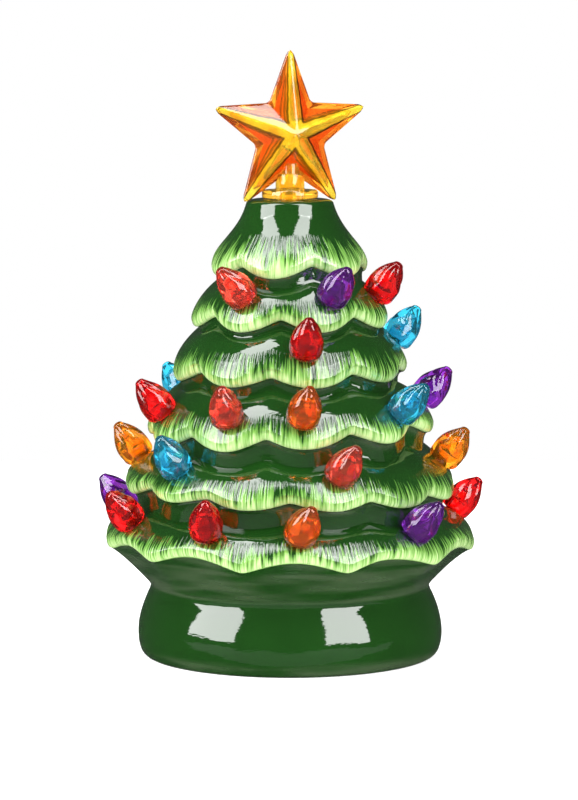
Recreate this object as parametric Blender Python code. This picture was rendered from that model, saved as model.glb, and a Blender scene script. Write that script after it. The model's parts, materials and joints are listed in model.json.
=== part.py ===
"""A glazed ceramic tabletop tree with plastic bulbs, a star topper and a plug-in light unit.

Metres, +Z up. The origin is the centre of the foot ring's underside, and the front faces -Y.
An azimuth is counted in degrees from the front, positive towards +X.
"""
import math
from collections import namedtuple

import bmesh
import bpy
from mathutils import Matrix, Vector

# ---------------------------------------------------------------- driving dimensions
COLLECTION_NAME = "tabletop_tree"
GAP = 0.0003                    # left between pieces that touch

# Battery cells (AAA) and the trough that holds them
CELL_COUNT = 3
CELL_RADIUS = 0.00525
CELL_LENGTH = 0.0434
CELL_BUTTON_RADIUS = 0.0019
CELL_BUTTON_HEIGHT = 0.0009
CELL_EDGE = 0.0005              # slanted edge round the button end
CELL_SPACING = 0.0006           # between neighbouring cells
SPRING_SPACE = 0.0042           # between a cell's flat end and its contact
BUTTON_SPACE = 0.0004           # between a cell's button and its contact
TROUGH_WALL = 0.0015

# Contacts, springs and wires
CONTACT_THICKNESS = 0.0004
CONTACT_HEIGHT = 0.0084
CONTACT_WIDTH = 0.0080
TAB_WIDTH = 0.0024
TAB_RISE = 0.0020               # of a solder tab above the trough's roof
SPRING_RADIUS = 0.0026
SPRING_WIRE_RADIUS = 0.0003
SPRING_TURNS = 3
SPRING_TURN_STEPS = 6
SPRING_TAPER = 0.35             # of its radius, lost towards the cell
WIRE_RADIUS = 0.0006
# Routes of the leads: shares of the starting tab's or pin's place, and heights above a level
BLACK_LEAD = ((1.0, 1.0, 0.0), (0.86, 0.95, 0.0016), (0.68, 0.60, 0.0012))
BLACK_LEAD_END = (0.55, 0.20)   # beside the board
RED_LEAD = ((1.0, 1.0, 0.0), (0.85, 1.15, 0.0010))
RED_LEAD_BEND = 0.60            # where it turns over the trough's rear edge
RED_LEAD_DROP = (0.35, 0.0010, 0.0040)  # share along, beyond the edge, below the roof
SWITCH_LEAD_RISE = (0.0008, 0.0030)     # beyond the edge, below the roof
SWITCH_LEAD_TURN = (0.80, 0.0010, 0.0006)   # share along, inside the edge, above the roof
SWITCH_LEAD_END = (0.50, 0.80)  # beside the board

# Light unit: flange, collar, rubber grommet, door and switch
GROUND_CLEARANCE = 0.0010       # under the flange and the door
FLANGE_THICKNESS = 0.0015
FLANGE_LAP = 0.0022             # of the flange beyond the ceramic opening
COLLAR_WALL = 0.0012
COLLAR_HEIGHT = 0.0062          # above the flange
GROMMET_THICKNESS = 0.0016
GROMMET_LIP = 0.0011
GROMMET_LIP_HEIGHT = 0.0012
DOOR_THICKNESS = 0.0013
DOOR_EAR_THICKNESS = 0.0010
DOOR_GRIP_WIDTH = 0.0070
DOOR_GRIP_PLACE = 0.6           # of the door's half length, from the middle
SCREW_HEAD_RADIUS = 0.0019
SCREW_SHANK_RADIUS = 0.0010
SCREW_LENGTH = 0.0058
SCREW_SLOT_REACH = 0.00114
SCREW_SLOT_WIDTH = 0.00057
SCREW_BOSS_RADIUS = 0.0024
SWITCH_LENGTH = 0.0086
SWITCH_WIDTH = 0.0044
SWITCH_HEIGHT = 0.0040
SWITCH_POSITION = 0.0248        # from the axis, towards the back
SWITCH_TRAVEL = 0.0020
SLIDER_LENGTH = 0.0026
SLIDER_WIDTH = 0.0020
SLIDER_ROOT = 0.0014            # of the slider inside the switch body

# Circuit board and its three lamps
BOARD_RADIUS = 0.0115
BOARD_THICKNESS = 0.0012
BOARD_POST_HEIGHT = 0.0040
BOARD_POST_RADIUS = 0.0015
BOARD_POST_CIRCLE = 0.0085
LAMP_COUNT = 3
LAMP_RADIUS = 0.0025
LAMP_HEIGHT = 0.0080
LAMP_RIM_RADIUS = 0.0029
LAMP_RIM_HEIGHT = 0.0010
LAMP_DOME = ((0.6, 0.8), (0.9, 0.4))    # shares of the lamp's radius: out, up
LAMP_CIRCLE = 0.0062

# Ceramic body
SEGMENTS = 48
WALL = 0.0028
FOOT_RING_WIDTH = 0.0042
FLOOR_RECESS = 0.0029           # of the floor above the foot ring
FLOOR_THICKNESS = 0.0032
BASE_SWELL = 0.0029             # of the base beyond its foot ring
BASE_SWELL_HEIGHT = 0.0062
BASE_WAIST_TUCK = 0.0038        # of the waist inside the base's widest ring
BASE_WAIST_HEIGHT = 0.0206
BASE_SIDE = ((0.0022, 0.0092), (0.0004, 0.0034), (0.0, 0.0), (0.0004, -0.0028),
             (0.0013, -0.0050))         # inside the widest ring, and above it
BASE_WALL = 1.4                 # walls thick at the floor
SOCKET_FLOOR = 1.6              # walls thick round the star's socket
TOP_HEIGHT = 0.1342
TOP_RADIUS = 0.0114
TOP_EDGE = 0.0014
CAP_FLARE = 0.0017              # how far the cap's side bows in near the top
CAP_BULGE = 0.0065              # how strongly it swells out above the rim
CAP_STEPS = (0.22, 0.44, 0.66, 0.84)
RIM_DROP = 0.0026               # from a rim's widest ring down to its lip
RIM_TUCK = 0.0010               # of the lip inside the widest ring
FOOT_SHARE = 0.75               # of a rim's scallops that its foot repeats
SLOPE_POWER = 1.43
SLOPE_STEPS = 3

Tier = namedtuple("Tier", "rim_radius rim_height foot_radius foot_height "
                          "lobes phase depth rise pointed sway sway_phase")
LOWEST_RIM_RADIUS = 0.0547
TIERS = (
    Tier(0.0234, 0.1150, 0.0216, 0.1090, 6, 18, 0.0017, 0.0033, False, 0.0000, 0),
    Tier(0.0291, 0.1000, 0.0267, 0.0957, 7, -6, 0.0021, 0.0034, False, 0.0000, 0),
    Tier(0.0347, 0.0850, 0.0321, 0.0795, 8, -10, 0.0023, 0.0028, False, 0.0006, 60),
    Tier(0.0425, 0.0678, 0.0395, 0.0600, 10, -10, 0.0024, 0.0032, False, 0.0014, 10),
    Tier(0.0490, 0.0512, 0.0456, 0.0430, 12, 0, 0.0018, 0.0020, False, -0.0010, 0),
    Tier(LOWEST_RIM_RADIUS, 0.0346, 0.0, 0.0, 11, 18, 0.0012, 0.0028, True, -0.0006, 0),
)

# Bulbs: axial stations from the seat on the glaze, and radii
BULB_PEG_RADIUS = 0.0020
BULB_PEG_LENGTH = 0.0046
BULB_RADIUS = 0.0049
BULB_LENGTH = 0.0128
BULB_FOOT_RADIUS = 0.0036       # where the bulb stands on the glaze
BULB_SHOULDER = 0.0016          # from the seat to the end of the rounded foot
BULB_SHOULDER_RADIUS = 0.93     # of the bulb's radius
BULB_BELLY = 0.0046             # from the seat to the widest section
BULB_NUB_RADIUS = 0.0016
BULB_NUB_END = 0.6              # of the nub's radius
BULB_TAPER_PLACE = 0.55         # of the way from the belly to the nub
BULB_TAPER_RADIUS = 0.58        # of the bulb's and the nub's radii together
BULB_NUB_HEIGHT = 0.0017
BULB_SEGMENTS = 10

Row = namedtuple("Row", "tier shelf bulbs")
Bulb = namedtuple("Bulb", "seat aim rise colour")
ROWS = (
    Row(1, 0.48, (Bulb(-30, -65, 50, "coral"), Bulb(26, 43, 50, "purple"),
                  Bulb(75, 60, 50, "red"), Bulb(150, 150, 52, "turquoise"),
                  Bulb(214, 214, 52, "amber"))),
    Row(2, 0.50, (Bulb(7, 16, 58, "red"), Bulb(103, 118, 48, "turquoise"),
                  Bulb(160, 160, 52, "coral"), Bulb(222, 222, 52, "purple"))),
    Row(3, 0.62, (Bulb(-66, -77, 54, "red"), Bulb(-27, -10, 58, "coral"),
                  Bulb(4, 28, 58, "orange"), Bulb(51, 67, 44, "turquoise"),
                  Bulb(97, 112, 44, "purple"), Bulb(142, 142, 52, "amber"),
                  Bulb(185, 185, 52, "red"), Bulb(232, 232, 52, "turquoise"))),
    Row(4, 0.46, (Bulb(-98, -80, 56, "amber"), Bulb(-47, -47, 58, "turquoise"),
                  Bulb(17, 50, 50, "coral"), Bulb(86, 66, 50, "amber"),
                  Bulb(138, 138, 52, "red"), Bulb(205, 205, 52, "orange"))),
    Row(5, 0.46, (Bulb(-107, -100, 50, "purple"), Bulb(-66, -50, 50, "red"),
                  Bulb(-29, 4, 56, "red"), Bulb(2, 36, 50, "orange"),
                  Bulb(44, 72, 48, "purple"), Bulb(106, 106, 46, "red"),
                  Bulb(128, 128, 50, "turquoise"), Bulb(168, 168, 50, "coral"),
                  Bulb(210, 210, 50, "amber"))),
)

# Star topper
STAR_RADIUS = 0.0248
STAR_INNER_RADIUS = 0.0112
STAR_DEPTH = 0.0060             # of each half at the middle
STAR_WALL = 0.0015
STAR_SEAT_DEPTH = 0.0026        # of the stem's top inside the star
STAR_YAW = 21.0
STEM_PEG_RADIUS = 0.0040
STEM_PEG_LENGTH = 0.0075
STEM_FLANGE_RADIUS = 0.0082
STEM_FLANGE_THICKNESS = 0.0024
STEM_RADIUS = 0.0042
STEM_HEIGHT = 0.0048            # of the wide part, above the flange
STEM_TOP_RADIUS = 0.0028
STEM_TOP_HEIGHT = 0.0030
STEM_BORE_RADIUS = 0.0030       # of the light's way up through the peg
STEM_TOP_BORE_RADIUS = 0.0016
STEM_SHELF = 0.0010             # under the narrow top
STEM_RECESS_GAP = 0.0004        # round the stem in the star

# ---------------------------------------------------------------- sizes that follow
TROUGH_INNER_LENGTH = (CELL_LENGTH + CELL_BUTTON_HEIGHT + SPRING_SPACE + BUTTON_SPACE
                       + 2 * (CONTACT_THICKNESS + GAP))
TROUGH_INNER_WIDTH = CELL_COUNT * (2 * CELL_RADIUS + CELL_SPACING) + CELL_SPACING
TROUGH_LENGTH = TROUGH_INNER_LENGTH + 2 * TROUGH_WALL
TROUGH_WIDTH = TROUGH_INNER_WIDTH + 2 * TROUGH_WALL
FLANGE_TOP = GROUND_CLEARANCE + FLANGE_THICKNESS
CELL_AXIS_HEIGHT = GROUND_CLEARANCE + DOOR_THICKNESS + 2 * GAP + CELL_RADIUS
TROUGH_INNER_TOP = CELL_AXIS_HEIGHT + CELL_RADIUS + CELL_SPACING
TROUGH_TOP = TROUGH_INNER_TOP + TROUGH_WALL
COLLAR_RADIUS = math.hypot(TROUGH_LENGTH, TROUGH_WIDTH) / 2 + GAP
OPENING_RADIUS = COLLAR_RADIUS + GROMMET_THICKNESS + 2 * GAP
FLANGE_RADIUS = OPENING_RADIUS + FLANGE_LAP
FOOT_RING_INNER = FLANGE_RADIUS + 2 * GAP
FOOT_RING_OUTER = FOOT_RING_INNER + FOOT_RING_WIDTH
BASE_RADIUS = FOOT_RING_OUTER + BASE_SWELL
BASE_WAIST_RADIUS = BASE_RADIUS - BASE_WAIST_TUCK
FLOOR_TOP = FLOOR_RECESS + FLOOR_THICKNESS
SWITCH_FLOOR = FLANGE_TOP + GAP
BOARD_BOTTOM = TROUGH_TOP + BOARD_POST_HEIGHT + GAP
BOARD_TOP = BOARD_BOTTOM + BOARD_THICKNESS
SOCKET_RADIUS = STEM_PEG_RADIUS + GAP
STEM_FLANGE_BOTTOM = TOP_HEIGHT + GAP
STEM_FLANGE_TOP = STEM_FLANGE_BOTTOM + STEM_FLANGE_THICKNESS
STEM_TOP = STEM_FLANGE_TOP + STEM_HEIGHT + STEM_TOP_HEIGHT
STAR_CENTRE_HEIGHT = STEM_TOP - STAR_SEAT_DEPTH + STAR_INNER_RADIUS

COLOURS = {
    "green_glaze": ((0.02, 0.09, 0.012), 0.08, 0.0),
    "red": ((0.75, 0.02, 0.02), 0.1, 0.0),
    "coral": ((0.85, 0.10, 0.05), 0.1, 0.0),
    "orange": ((0.90, 0.25, 0.03), 0.1, 0.0),
    "amber": ((0.95, 0.45, 0.04), 0.1, 0.0),
    "purple": ((0.22, 0.04, 0.45), 0.1, 0.0),
    "turquoise": ((0.05, 0.55, 0.70), 0.1, 0.0),
    "star_amber": ((0.95, 0.42, 0.02), 0.1, 0.0),
    "black_plastic": ((0.03, 0.03, 0.03), 0.45, 0.0),
    "white_plastic": ((0.80, 0.80, 0.78), 0.4, 0.0),
    "rubber": ((0.05, 0.05, 0.05), 0.8, 0.0),
    "nickel": ((0.75, 0.74, 0.70), 0.3, 1.0),
    "cell_wrap": ((0.10, 0.12, 0.30), 0.35, 0.2),
    "board_green": ((0.03, 0.22, 0.08), 0.5, 0.0),
    "lamp_epoxy": ((0.95, 0.90, 0.70), 0.1, 0.0),
    "red_wire": ((0.60, 0.02, 0.02), 0.5, 0.0),
    "black_wire": ((0.02, 0.02, 0.02), 0.5, 0.0),
}


# ---------------------------------------------------------------- shared helpers
def clear_scene():
    """Remove every object of the file that the script starts in."""
    for obj in list(bpy.data.objects):
        bpy.data.objects.remove(obj, do_unlink=True)


def make_collection(name):
    """Make a collection below the scene's own."""
    collection = bpy.data.collections.new(name)
    bpy.context.scene.collection.children.link(collection)
    return collection


def material(name):
    """Return the Principled material of that name, made on first use."""
    found = bpy.data.materials.get(name)
    if found:
        return found
    colour, roughness, metallic = COLOURS[name]
    made = bpy.data.materials.new(name)
    made.use_nodes = True
    shader = made.node_tree.nodes["Principled BSDF"]
    shader.inputs["Base Color"].default_value = (*colour, 1.0)
    shader.inputs["Roughness"].default_value = roughness
    shader.inputs["Metallic"].default_value = metallic
    return made


def add_object(name, data, colour):
    """Link data as a part of the tree, with its material."""
    obj = bpy.data.objects.new(name, data)
    parts.objects.link(obj)
    if not data.materials:
        data.materials.append(material(colour))
    return obj


def mesh_from(bm, name):
    """Turn an edited mesh into mesh data with outward faces and smooth round sides."""
    bmesh.ops.recalc_face_normals(bm, faces=bm.faces)
    mesh = bpy.data.meshes.new(name)
    bm.to_mesh(mesh)
    bm.free()
    mesh.shade_smooth()
    mesh.set_sharp_from_angle(angle=math.radians(35))
    return mesh


def around(azimuth, radius, height=0.0):
    """A point at an azimuth counted from the front."""
    angle = math.radians(azimuth)
    return Vector((radius * math.sin(angle), -radius * math.cos(angle), height))


def add_cylinder(bm, radius, bottom, top, centre=(0.0, 0.0), segments=24):
    """Add an upright closed cylinder."""
    place = Matrix.Translation((centre[0], centre[1], (bottom + top) / 2))
    return bmesh.ops.create_cone(bm, cap_ends=True, segments=segments, radius1=radius,
                                 radius2=radius, depth=top - bottom, matrix=place)


def add_box(bm, low, high):
    """Add a closed box between two corners."""
    low, high = Vector(low), Vector(high)
    place = Matrix.LocRotScale((low + high) / 2, None, high - low)
    return bmesh.ops.create_cube(bm, size=1.0, matrix=place)


def turned_mesh(name, profile, segments):
    """Turn a closed or axis-to-axis profile of (radius, height) about Z."""
    bm = bmesh.new()
    verts = [bm.verts.new((radius, 0.0, height)) for radius, height in profile]
    closed = profile[0][0] > 0.0
    pairs = list(zip(verts, verts[1:]))
    if closed:
        pairs.append((verts[-1], verts[0]))
    edges = [bm.edges.new(pair) for pair in pairs]
    bmesh.ops.spin(bm, geom=verts + edges, axis=(0, 0, 1), cent=(0, 0, 0),
                   angle=math.tau, steps=segments, use_merge=True)
    bmesh.ops.remove_doubles(bm, verts=bm.verts, dist=1e-6)
    return mesh_from(bm, name)


def cutter(name, mesh):
    """Keep a mesh as a hidden cutting shape."""
    obj = bpy.data.objects.new(name, mesh)
    cutters.objects.link(obj)
    obj.hide_render = True
    obj.display_type = "WIRE"
    return obj


def combine(target, tool, operation):
    """Add an exact Boolean with another object."""
    modifier = target.modifiers.new(f"{operation.lower()}_{tool.name}", "BOOLEAN")
    modifier.operation = operation
    modifier.solver = "EXACT"
    modifier.object = tool


def mesh_of_curve(obj):
    """Replace a curve object by a closed mesh object of the same name."""
    graph = bpy.context.evaluated_depsgraph_get()
    mesh = bpy.data.meshes.new_from_object(obj.evaluated_get(graph))
    name, colour = obj.name, obj.data.materials[0].name
    bpy.data.objects.remove(obj, do_unlink=True)
    bm = bmesh.new()
    bm.from_mesh(mesh)
    bmesh.ops.remove_doubles(bm, verts=bm.verts, dist=1e-7)
    return add_object(name, mesh_from(bm, name), colour)


def add_tube(name, points, radius, colour):
    """Make a round wire through points."""
    curve = bpy.data.curves.new(name, "CURVE")
    curve.dimensions = "3D"
    curve.bevel_depth = radius
    curve.bevel_resolution = 2
    curve.use_fill_caps = True
    spline = curve.splines.new("POLY")
    spline.points.add(len(points) - 1)
    for place, point in zip(points, spline.points):
        point.co = (*place, 1.0)
    return mesh_of_curve(add_object(name, curve, colour))


# ---------------------------------------------------------------- ceramic body
def notch(tier, azimuth):
    """How deep into a notch of the rim an azimuth lies, from 0 to 1."""
    wave = abs(math.sin(math.radians(tier.lobes * (azimuth - tier.phase) / 2)))
    return wave if tier.pointed else 1.0 - wave


def slope_point(index, share):
    """A ring of a tier's slope: 0 at the foot of the tier above, 1 at the widest ring."""
    above, tier = TIERS[index - 1], TIERS[index]
    out = math.sin(share * math.pi / 2) ** SLOPE_POWER
    up = math.cos(share * math.pi / 2) ** SLOPE_POWER
    radius = above.foot_radius + (tier.rim_radius - above.foot_radius) * out
    height = tier.rim_height + (above.foot_height - tier.rim_height) * up
    return radius, height, {index - 1: FOOT_SHARE * (1 - share) ** 2, index: share ** 2}


def cap_side():
    """The rings of the cap from its flat top to just above its widest ring."""
    cap = TIERS[0]
    rings = [(TOP_RADIUS, TOP_HEIGHT, {}), (TOP_RADIUS + TOP_EDGE, TOP_HEIGHT - TOP_EDGE / 2, {})]
    start_radius, start_height = TOP_RADIUS + TOP_EDGE, TOP_HEIGHT - TOP_EDGE / 2
    for share in CAP_STEPS:
        radius = start_radius + (cap.rim_radius - start_radius) * share
        radius -= CAP_FLARE * math.sin(math.pi * share) * (1 - share)
        radius += CAP_BULGE * share ** 3 * (1 - share)
        height = start_height + (cap.rim_height - start_height) * share
        rings.append((radius, height, {0: share ** 3}))
    return rings


def rim_and_foot(index):
    """The widest ring, the lip below it and the foot that stands on the next tier."""
    tier = TIERS[index]
    rings = [(tier.rim_radius, tier.rim_height, {index: 1.0}),
             (tier.rim_radius - RIM_TUCK, tier.rim_height - RIM_DROP, {index: 1.0})]
    if tier.foot_radius:
        rings.append((tier.foot_radius, tier.foot_height, {index: FOOT_SHARE}))
    return rings


def base_side():
    """The rings of the base, from its waist under the lowest tier to the foot ring."""
    side = [(BASE_RADIUS - tuck, BASE_SWELL_HEIGHT + rise, {}) for tuck, rise in BASE_SIDE]
    return [(BASE_WAIST_RADIUS, BASE_WAIST_HEIGHT, {}), *side, (FOOT_RING_OUTER, 0.0, {})]


def inside():
    """The rings of the underside and of the hollow, from the foot ring to the top socket."""
    rings = [(FOOT_RING_INNER, 0.0), (FOOT_RING_INNER, FLOOR_RECESS),
             (OPENING_RADIUS, FLOOR_RECESS), (OPENING_RADIUS, FLOOR_TOP),
             (BASE_RADIUS - BASE_WALL * WALL, FLOOR_TOP),
             (BASE_WAIST_RADIUS - WALL, BASE_WAIST_HEIGHT - WALL),
             (BASE_WAIST_RADIUS - WALL, BASE_WAIST_HEIGHT + WALL)]
    fifth = TIERS[4]
    hollow = fifth.foot_radius - FOOT_SHARE * fifth.depth - WALL
    rings.append((hollow, TIERS[5].rim_height - RIM_DROP))
    for tier in reversed(TIERS[:5]):
        hollow = tier.foot_radius - FOOT_SHARE * tier.depth - WALL
        rings.append((hollow, tier.foot_height - WALL / 2))
    rings += [(TOP_RADIUS - WALL, TOP_HEIGHT - 2 * WALL),
              (SOCKET_RADIUS, TOP_HEIGHT - SOCKET_FLOOR * WALL), (SOCKET_RADIUS, TOP_HEIGHT)]
    return [(radius, height, {}) for radius, height in rings]


def ceramic_rings():
    """Every ring of the body's closed section, with its share of each tier's scallops."""
    rings = cap_side() + rim_and_foot(0)
    for index in range(1, len(TIERS)):
        rings += [slope_point(index, step / SLOPE_STEPS) for step in range(1, SLOPE_STEPS)]
        rings += rim_and_foot(index)
    return rings + base_side() + inside()


def scalloped(radius, height, shares, azimuth):
    """Move a ring's point in and up by the scallops of its tiers."""
    for index, share in shares.items():
        tier = TIERS[index]
        depth = notch(tier, azimuth) * share
        sway = tier.sway * math.sin(math.radians(azimuth - tier.sway_phase))
        radius -= tier.depth * depth
        height += tier.rise * depth + sway * share
    return around(azimuth, radius, height)


def make_ceramic_tree():
    """The one-piece glazed body: scalloped tiers, base, floor and holes."""
    rings = ceramic_rings()
    bm = bmesh.new()
    ring_of = bm.verts.layers.int.new("ring")
    verts = []
    for number, (radius, height, _) in enumerate(rings):
        vert = bm.verts.new((radius, 0.0, height))
        vert[ring_of] = number
        verts.append(vert)
    edges = [bm.edges.new((a, b)) for a, b in zip(verts, verts[1:] + verts[:1])]
    bmesh.ops.spin(bm, geom=verts + edges, axis=(0, 0, 1), cent=(0, 0, 0),
                   angle=math.tau, steps=SEGMENTS, use_merge=True)
    for vert in bm.verts:
        radius, height, shares = rings[vert[ring_of]]
        azimuth = math.degrees(math.atan2(vert.co.x, -vert.co.y))
        vert.co = scalloped(radius, height, shares, azimuth)
    tree = add_object("ceramic_tree", mesh_from(bm, "ceramic_tree"), "green_glaze")
    combine(tree, make_bulb_cutter(), "DIFFERENCE")
    return tree


# ---------------------------------------------------------------- bulbs
def bulb_sections(extra=0.0, peg_length=BULB_PEG_LENGTH):
    """The bulb's (station, radius) pairs from the peg's end to the nub, grown by extra."""
    flame = BULB_LENGTH - BULB_NUB_HEIGHT
    taper = BULB_BELLY + (flame - BULB_BELLY) * BULB_TAPER_PLACE
    return [(-peg_length, BULB_PEG_RADIUS + extra),
            (-extra, BULB_PEG_RADIUS + extra),
            (-extra, BULB_FOOT_RADIUS + extra),
            (BULB_SHOULDER - extra, BULB_RADIUS * BULB_SHOULDER_RADIUS + extra),
            (BULB_BELLY, BULB_RADIUS + extra),
            (taper, (BULB_RADIUS + BULB_NUB_RADIUS) * BULB_TAPER_RADIUS + extra),
            (flame + extra, BULB_NUB_RADIUS + extra),
            (BULB_LENGTH + extra, BULB_NUB_RADIUS * BULB_NUB_END + extra)]


def bulb_mesh(name, sections, segments=BULB_SEGMENTS):
    """Turn bulb sections into a closed mesh along +Z."""
    profile = [(0.0, sections[0][0])] + [(r, s) for s, r in sections] + [(0.0, sections[-1][0])]
    return turned_mesh(name, profile, segments)


def bulb_place(row, bulb):
    """The seat's frame: +Z along the bulb's axis, out of the glaze."""
    radius, height, shares = slope_point(row.tier, row.shelf)
    seat = scalloped(radius, height, shares, bulb.seat)
    axis = around(bulb.aim, math.cos(math.radians(bulb.rise)), math.sin(math.radians(bulb.rise)))
    return Matrix.Translation(seat) @ axis.to_track_quat("Z", "Y").to_matrix().to_4x4()


def all_bulbs():
    """Every bulb with its number and place, row by row from the top."""
    number = 0
    for row in ROWS:
        for bulb in row.bulbs:
            number += 1
            yield number, bulb, bulb_place(row, bulb)


def make_bulbs():
    """One loose plastic bulb in each hole; bulbs of one colour share a mesh."""
    meshes = {}
    for number, bulb, place in all_bulbs():
        if bulb.colour not in meshes:
            meshes[bulb.colour] = bulb_mesh(f"bulb_{bulb.colour}", bulb_sections())
        obj = add_object(f"bulb_{number:02d}_{bulb.colour}", meshes[bulb.colour], bulb.colour)
        obj.matrix_world = place


def make_bulb_cutter():
    """The holes' shapes: each bulb grown by the gap, with its peg lengthened inwards."""
    hole = bulb_mesh("bulb_hole", bulb_sections(GAP, 3 * BULB_PEG_LENGTH))
    bm = bmesh.new()
    for _, _, place in all_bulbs():
        single = hole.copy()
        single.transform(place)
        bm.from_mesh(single)
    return cutter("bulb_holes", mesh_from(bm, "bulb_holes"))


# ---------------------------------------------------------------- star topper
def star_pyramid(name, scale, facing):
    """A closed ten-sided pyramid on the mid-plane, its rim alternating points and notches."""
    bm = bmesh.new()
    depth = STAR_DEPTH * scale
    bmesh.ops.create_cone(bm, cap_ends=True, segments=10, radius1=STAR_RADIUS * scale,
                          radius2=0.0, depth=depth, matrix=Matrix.Translation((0, 0, depth / 2)))
    bmesh.ops.remove_doubles(bm, verts=bm.verts, dist=1e-6)
    rim = sorted((vert for vert in bm.verts if vert.co.z < depth / 2),
                 key=lambda vert: math.atan2(vert.co.x, vert.co.y))
    for step, vert in enumerate(rim):
        radius = (STAR_INNER_RADIUS if step % 2 else STAR_RADIUS) * scale
        angle = math.radians(36) * step
        vert.co.x = radius * math.sin(angle)
        vert.co.y = radius * math.cos(angle)
    bmesh.ops.rotate(bm, verts=bm.verts, matrix=Matrix.Rotation(math.pi / 2, 3, "X"))
    if facing < 0:
        bmesh.ops.rotate(bm, verts=bm.verts, matrix=Matrix.Rotation(math.pi, 3, "Z"))
    return mesh_from(bm, name)


def star_wall_scale():
    """How much smaller the hollow of the star is than its outside."""
    corner = Vector((STAR_INNER_RADIUS * math.cos(math.radians(36)),
                     STAR_INNER_RADIUS * math.sin(math.radians(36))))
    side = corner - Vector((STAR_RADIUS, 0.0))
    reach = STAR_RADIUS * abs(side.y) / side.length
    return 1.0 - STAR_WALL / reach


def make_star_half(name, facing):
    """Half of the hollow star; facing is 1 for the front half and -1 for the rear."""
    half = add_object(name, star_pyramid(name, 1.0, facing), "star_amber")
    half.parent = star_pivot
    half.location = (0.0, -facing * GAP / 2, STAR_CENTRE_HEIGHT - TOP_HEIGHT)
    hollow = cutter(f"{name}_hollow", star_pyramid(f"{name}_hollow", star_wall_scale(), facing))
    hollow.parent = star_pivot
    hollow.location = half.location + Vector((0.0, facing * GAP, 0.0))
    combine(half, hollow, "DIFFERENCE")
    combine(half, stem_cutter(name), "DIFFERENCE")


def stem_cutter(half_name):
    """The recess in a star half that the stem's stepped tube fits."""
    step = STEM_FLANGE_TOP + STEM_HEIGHT + GAP
    wide_top, wide = STEM_TOP_RADIUS + STEM_RECESS_GAP, STEM_RADIUS + STEM_RECESS_GAP
    profile = [(0.0, STEM_TOP + GAP), (wide_top, STEM_TOP + GAP),
               (wide_top, step), (wide, step), (wide, STEM_FLANGE_BOTTOM),
               (0.0, STEM_FLANGE_BOTTOM)]
    return cutter(f"stem_recess_{half_name}", turned_mesh("stem_recess", profile, 24))


def make_star_stem():
    """The turned stem: peg in the tree's top, flange on the glaze, stepped tube in the star."""
    step = STEM_FLANGE_TOP + STEM_HEIGHT
    shelf = step - STEM_SHELF
    profile = [(STEM_TOP_BORE_RADIUS, STEM_TOP), (STEM_TOP_RADIUS, STEM_TOP),
               (STEM_TOP_RADIUS, step), (STEM_RADIUS, step),
               (STEM_RADIUS, STEM_FLANGE_TOP), (STEM_FLANGE_RADIUS, STEM_FLANGE_TOP),
               (STEM_FLANGE_RADIUS, STEM_FLANGE_BOTTOM), (STEM_PEG_RADIUS, STEM_FLANGE_BOTTOM),
               (STEM_PEG_RADIUS, STEM_FLANGE_BOTTOM - STEM_PEG_LENGTH),
               (STEM_BORE_RADIUS, STEM_FLANGE_BOTTOM - STEM_PEG_LENGTH),
               (STEM_BORE_RADIUS, shelf), (STEM_TOP_BORE_RADIUS, shelf)]
    profile = [(radius, height - TOP_HEIGHT) for radius, height in profile]
    stem = add_object("star_stem", turned_mesh("star_stem", profile, 24), "star_amber")
    stem.parent = star_pivot


# ---------------------------------------------------------------- light unit
def cell_offset(number):
    """The Y of a cell's axis; cells are numbered 1 to CELL_COUNT from the front."""
    pitch = 2 * CELL_RADIUS + CELL_SPACING
    return (number - (CELL_COUNT + 1) / 2) * pitch


def cell_facing(number):
    """1 where a cell's button points to +X, -1 where it points to -X."""
    return 1 if number % 2 else -1


def contact_plane(side):
    """The X of a contact's inner face at the +X (1) or -X (-1) end of the trough."""
    return side * (TROUGH_INNER_LENGTH / 2 - GAP - CONTACT_THICKNESS)


def tab_places():
    """The (side, y) of the two solder tabs that pass through the trough's roof."""
    return {"negative": (-1, cell_offset(1)), "positive": (1, cell_offset(CELL_COUNT))}


def make_module_housing():
    """Flange, collar and battery trough in one moulding."""
    bm = bmesh.new()
    add_cylinder(bm, FLANGE_RADIUS, GROUND_CLEARANCE, FLANGE_TOP, segments=48)
    housing = add_object("module_housing", mesh_from(bm, "module_housing"), "black_plastic")
    profile = [(COLLAR_RADIUS, FLANGE_TOP - FLANGE_THICKNESS / 2),
               (COLLAR_RADIUS - COLLAR_WALL, FLANGE_TOP - FLANGE_THICKNESS / 2),
               (COLLAR_RADIUS - COLLAR_WALL, FLANGE_TOP + COLLAR_HEIGHT),
               (COLLAR_RADIUS, FLANGE_TOP + COLLAR_HEIGHT)]
    combine(housing, cutter("collar", turned_mesh("collar", profile, 48)), "UNION")
    bm = bmesh.new()
    add_box(bm, (-TROUGH_LENGTH / 2, -TROUGH_WIDTH / 2, FLANGE_TOP - FLANGE_THICKNESS / 3),
            (TROUGH_LENGTH / 2, TROUGH_WIDTH / 2, TROUGH_TOP))
    combine(housing, cutter("trough", mesh_from(bm, "trough")), "UNION")
    combine(housing, cutter("posts", housing_posts()), "UNION")
    combine(housing, cutter("trough_hollow", trough_hollow()), "DIFFERENCE")
    combine(housing, cutter("screw_boss", screw_boss()), "UNION")
    combine(housing, cutter("ear_recess", ear_recess()), "DIFFERENCE")
    combine(housing, cutter("housing_slots", housing_slots()), "DIFFERENCE")


def housing_posts():
    """Posts under the circuit board."""
    bm = bmesh.new()
    for azimuth in (45, 135, 225, 315):
        centre = around(azimuth, BOARD_POST_CIRCLE)
        add_cylinder(bm, BOARD_POST_RADIUS, TROUGH_TOP - TROUGH_WALL / 2,
                     TROUGH_TOP + BOARD_POST_HEIGHT, centre, 12)
    return mesh_from(bm, "posts")


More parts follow.
